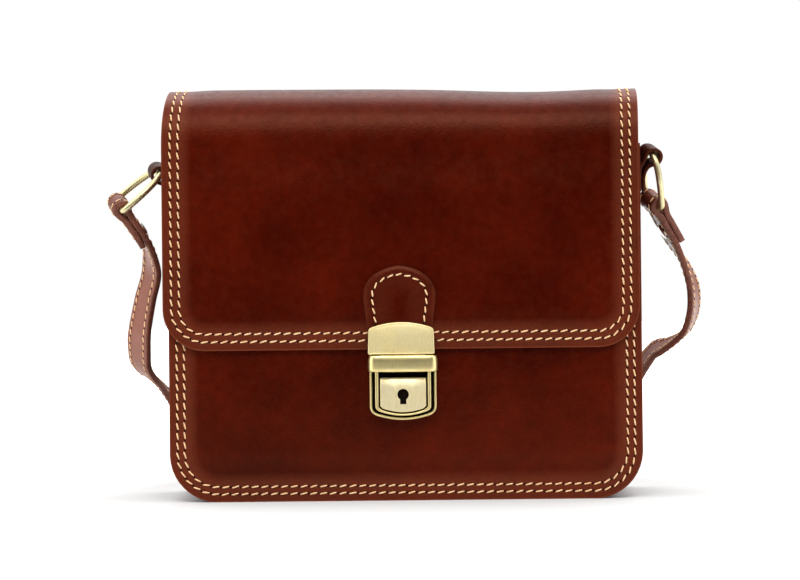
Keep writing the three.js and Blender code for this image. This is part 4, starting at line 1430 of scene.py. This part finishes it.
def build_rivet(ring, place):
    seat, to_tail = place.beside(RIVET_FROM_BAR, -STRAP_LEATHER / 2)
    cap = RIVET_CAP / 2
    profile = [(0.001, 4.0), (1.7, 4.0), (1.7, -0.15), (cap - 0.15, -0.15), (cap, -0.4),
               (cap * 0.93, -0.75), (cap * 0.75, -1.1), (cap * 0.45, -1.35), (0.001, -1.45)]
    mesh = bmesh.new()
    verts = [mesh.verts.new((radius, 0, height)) for radius, height in profile]
    edges = [mesh.edges.new(pair) for pair in zip(verts, verts[1:])]
    bmesh.ops.spin(mesh, geom=verts + edges, cent=(0, 0, 0), axis=(0, 0, 1), angle=math.tau, steps=32,
                   use_duplicate=False)
    bmesh.ops.remove_doubles(mesh, verts=mesh.verts, dist=0.01)
    bmesh.ops.recalc_face_normals(mesh, faces=mesh.faces)
    turn = to_tail.to_track_quat("Z", "Y").to_matrix().to_4x4()
    bmesh.ops.transform(mesh, matrix=Matrix.Translation(seat) @ turn, verts=mesh.verts)
    piece(f"strap_rivet_{ring['name']}_metal", mesh, [rivet_look],
          nodes=[f"strap_rivet_{ring['name']}"])


build_patch()
build_lock_case()
build_lock_bridge()
build_press_plate()
build_hasp()
ring_places = [RingPlace(ring) for ring in RINGS]
for ring, ring_place in zip(RINGS, ring_places):
    build_ring(ring, ring_place)
    build_ring_tab(ring, ring_place)
    build_rivet(ring, ring_place)
build_strap(ring_places)

# Stage, light and camera

VIEW_DISTANCE = 1150.0
VIEW_HEIGHT = 113.8
VIEW_SIDE = -2.6
VIEW_ROLL = 0.6
SENSOR = 36.0
LENS = 95.7


def build_camera():
    data = bpy.data.cameras.new("camera")
    data.sensor_width = SENSOR
    data.lens = LENS
    camera = bpy.data.objects.new("camera", data)
    place = Vector((VIEW_SIDE, -HALF_DEPTH - VIEW_DISTANCE, VIEW_HEIGHT)) * MM
    roll = Matrix.Rotation(math.radians(-VIEW_ROLL), 4, "Z")
    camera.matrix_world = Matrix.Translation(place) @ Matrix.Rotation(math.pi / 2, 4, "X") @ roll
    bpy.context.scene.collection.objects.link(camera)
    bpy.context.scene.camera = camera


FLOOR_FRONT = -0.45


def build_floor():
    """White paper under the bag and behind it; it ends below the picture."""
    mesh = bmesh.new()
    bmesh.ops.create_grid(mesh, x_segments=1, y_segments=1, size=6.0)
    for vert in mesh.verts:
        vert.co.y = max(vert.co.y, FLOOR_FRONT)
    data = bpy.data.meshes.new("floor")
    mesh.to_mesh(data)
    mesh.free()
    material, tree, shader, coords = base_shader("floor_white", 0.9, level=0.1)
    shade = pattern(tree, coords, "ShaderNodeTexNoise", 2, "Fac")
    paper = ramp(tree, shade, [(0.0, (0.66, 0.66, 0.65)), (1.0, (0.68, 0.68, 0.68))])
    tree.links.new(paper, shader.inputs["Base Color"])
    reach = node(tree, "ShaderNodeVectorMath", operation="LENGTH")
    tree.links.new(coords, reach.inputs[0])
    glow = node(tree, "ShaderNodeMapRange", interpolation_type="SMOOTHSTEP")
    glow.inputs["From Min"].default_value = 0.2
    glow.inputs["From Max"].default_value = 0.75
    tree.links.new(reach.outputs["Value"], glow.inputs["Value"])
    shader.inputs["Emission Color"].default_value = (1, 1, 1, 1)
    tree.links.new(glow.outputs["Result"], shader.inputs["Emission Strength"])
    data.materials.append(material)
    floor = bpy.data.objects.new("floor", data)
    bpy.context.scene.collection.objects.link(floor)


def build_world():
    """A white tent of light, dark only low in front where the photographer stands;
    straight looks past the bag see plain white."""
    world = bpy.data.worlds.new("studio")
    bpy.context.scene.world = world
    world.use_nodes = True
    tree = world.node_tree
    shade = tree.nodes["Background"]
    coords = tree.nodes.new("ShaderNodeTexCoord").outputs["Generated"]
    parts = node(tree, "ShaderNodeSeparateXYZ")
    tree.links.new(coords, parts.inputs[0])
    front = scaled(tree, parts.outputs["Y"], -1)
    shade.inputs["Strength"].default_value = 2.1
    sides = ramp(tree, front, [(0.0, 0.3), (0.3, 0.34), (0.6, 0.05), (1.0, 0.03)])
    high = ramp(tree, parts.outputs["Z"], [(0.3, 0.0), (0.7, 0.6), (0.95, 0.4)])
    tree.links.new(mixed(tree, "ADD", 1.0, sides, high), shade.inputs["Color"])
    plain = node(tree, "ShaderNodeBackground")
    plain.inputs["Color"].default_value = (1, 1, 1, 1)
    seen = node(tree, "ShaderNodeLightPath").outputs["Is Camera Ray"]
    both = node(tree, "ShaderNodeMixShader")
    tree.links.new(seen, both.inputs[0])
    tree.links.new(shade.outputs[0], both.inputs[1])
    tree.links.new(plain.outputs[0], both.inputs[2])
    tree.links.new(both.outputs[0], tree.nodes["World Output"].inputs["Surface"])


def add_softbox(name, place, aim, size, power):
    """A soft lamp at a place in metres that looks at its aim, its power in watts."""
    data = bpy.data.lights.new(name, "AREA")
    data.shape = "RECTANGLE"
    data.size, data.size_y = size
    data.energy = power
    lamp = bpy.data.objects.new(name, data)
    lamp.location = place
    lamp.rotation_euler = (Vector(aim) - Vector(place)).to_track_quat("-Z", "Y").to_euler()
    bpy.context.scene.collection.objects.link(lamp)


build_camera()
build_floor()
build_world()
add_softbox("overhead", (0, 0.35, 1.4), (0, 0, 0.1), (1.4, 0.8), 9)
add_softbox("front_top", (0, -1.0, 1.1), (0, 0, 0.1), (1.0, 0.6), 8)
add_softbox("left_wall", (-1.3, -0.5, 0.6), (0, 0, 0.12), (0.8, 1.2), 5)
add_softbox("right_wall", (1.3, -0.5, 0.6), (0, 0, 0.12), (0.8, 1.2), 4)
bpy.context.scene.view_settings.view_transform = "Standard"
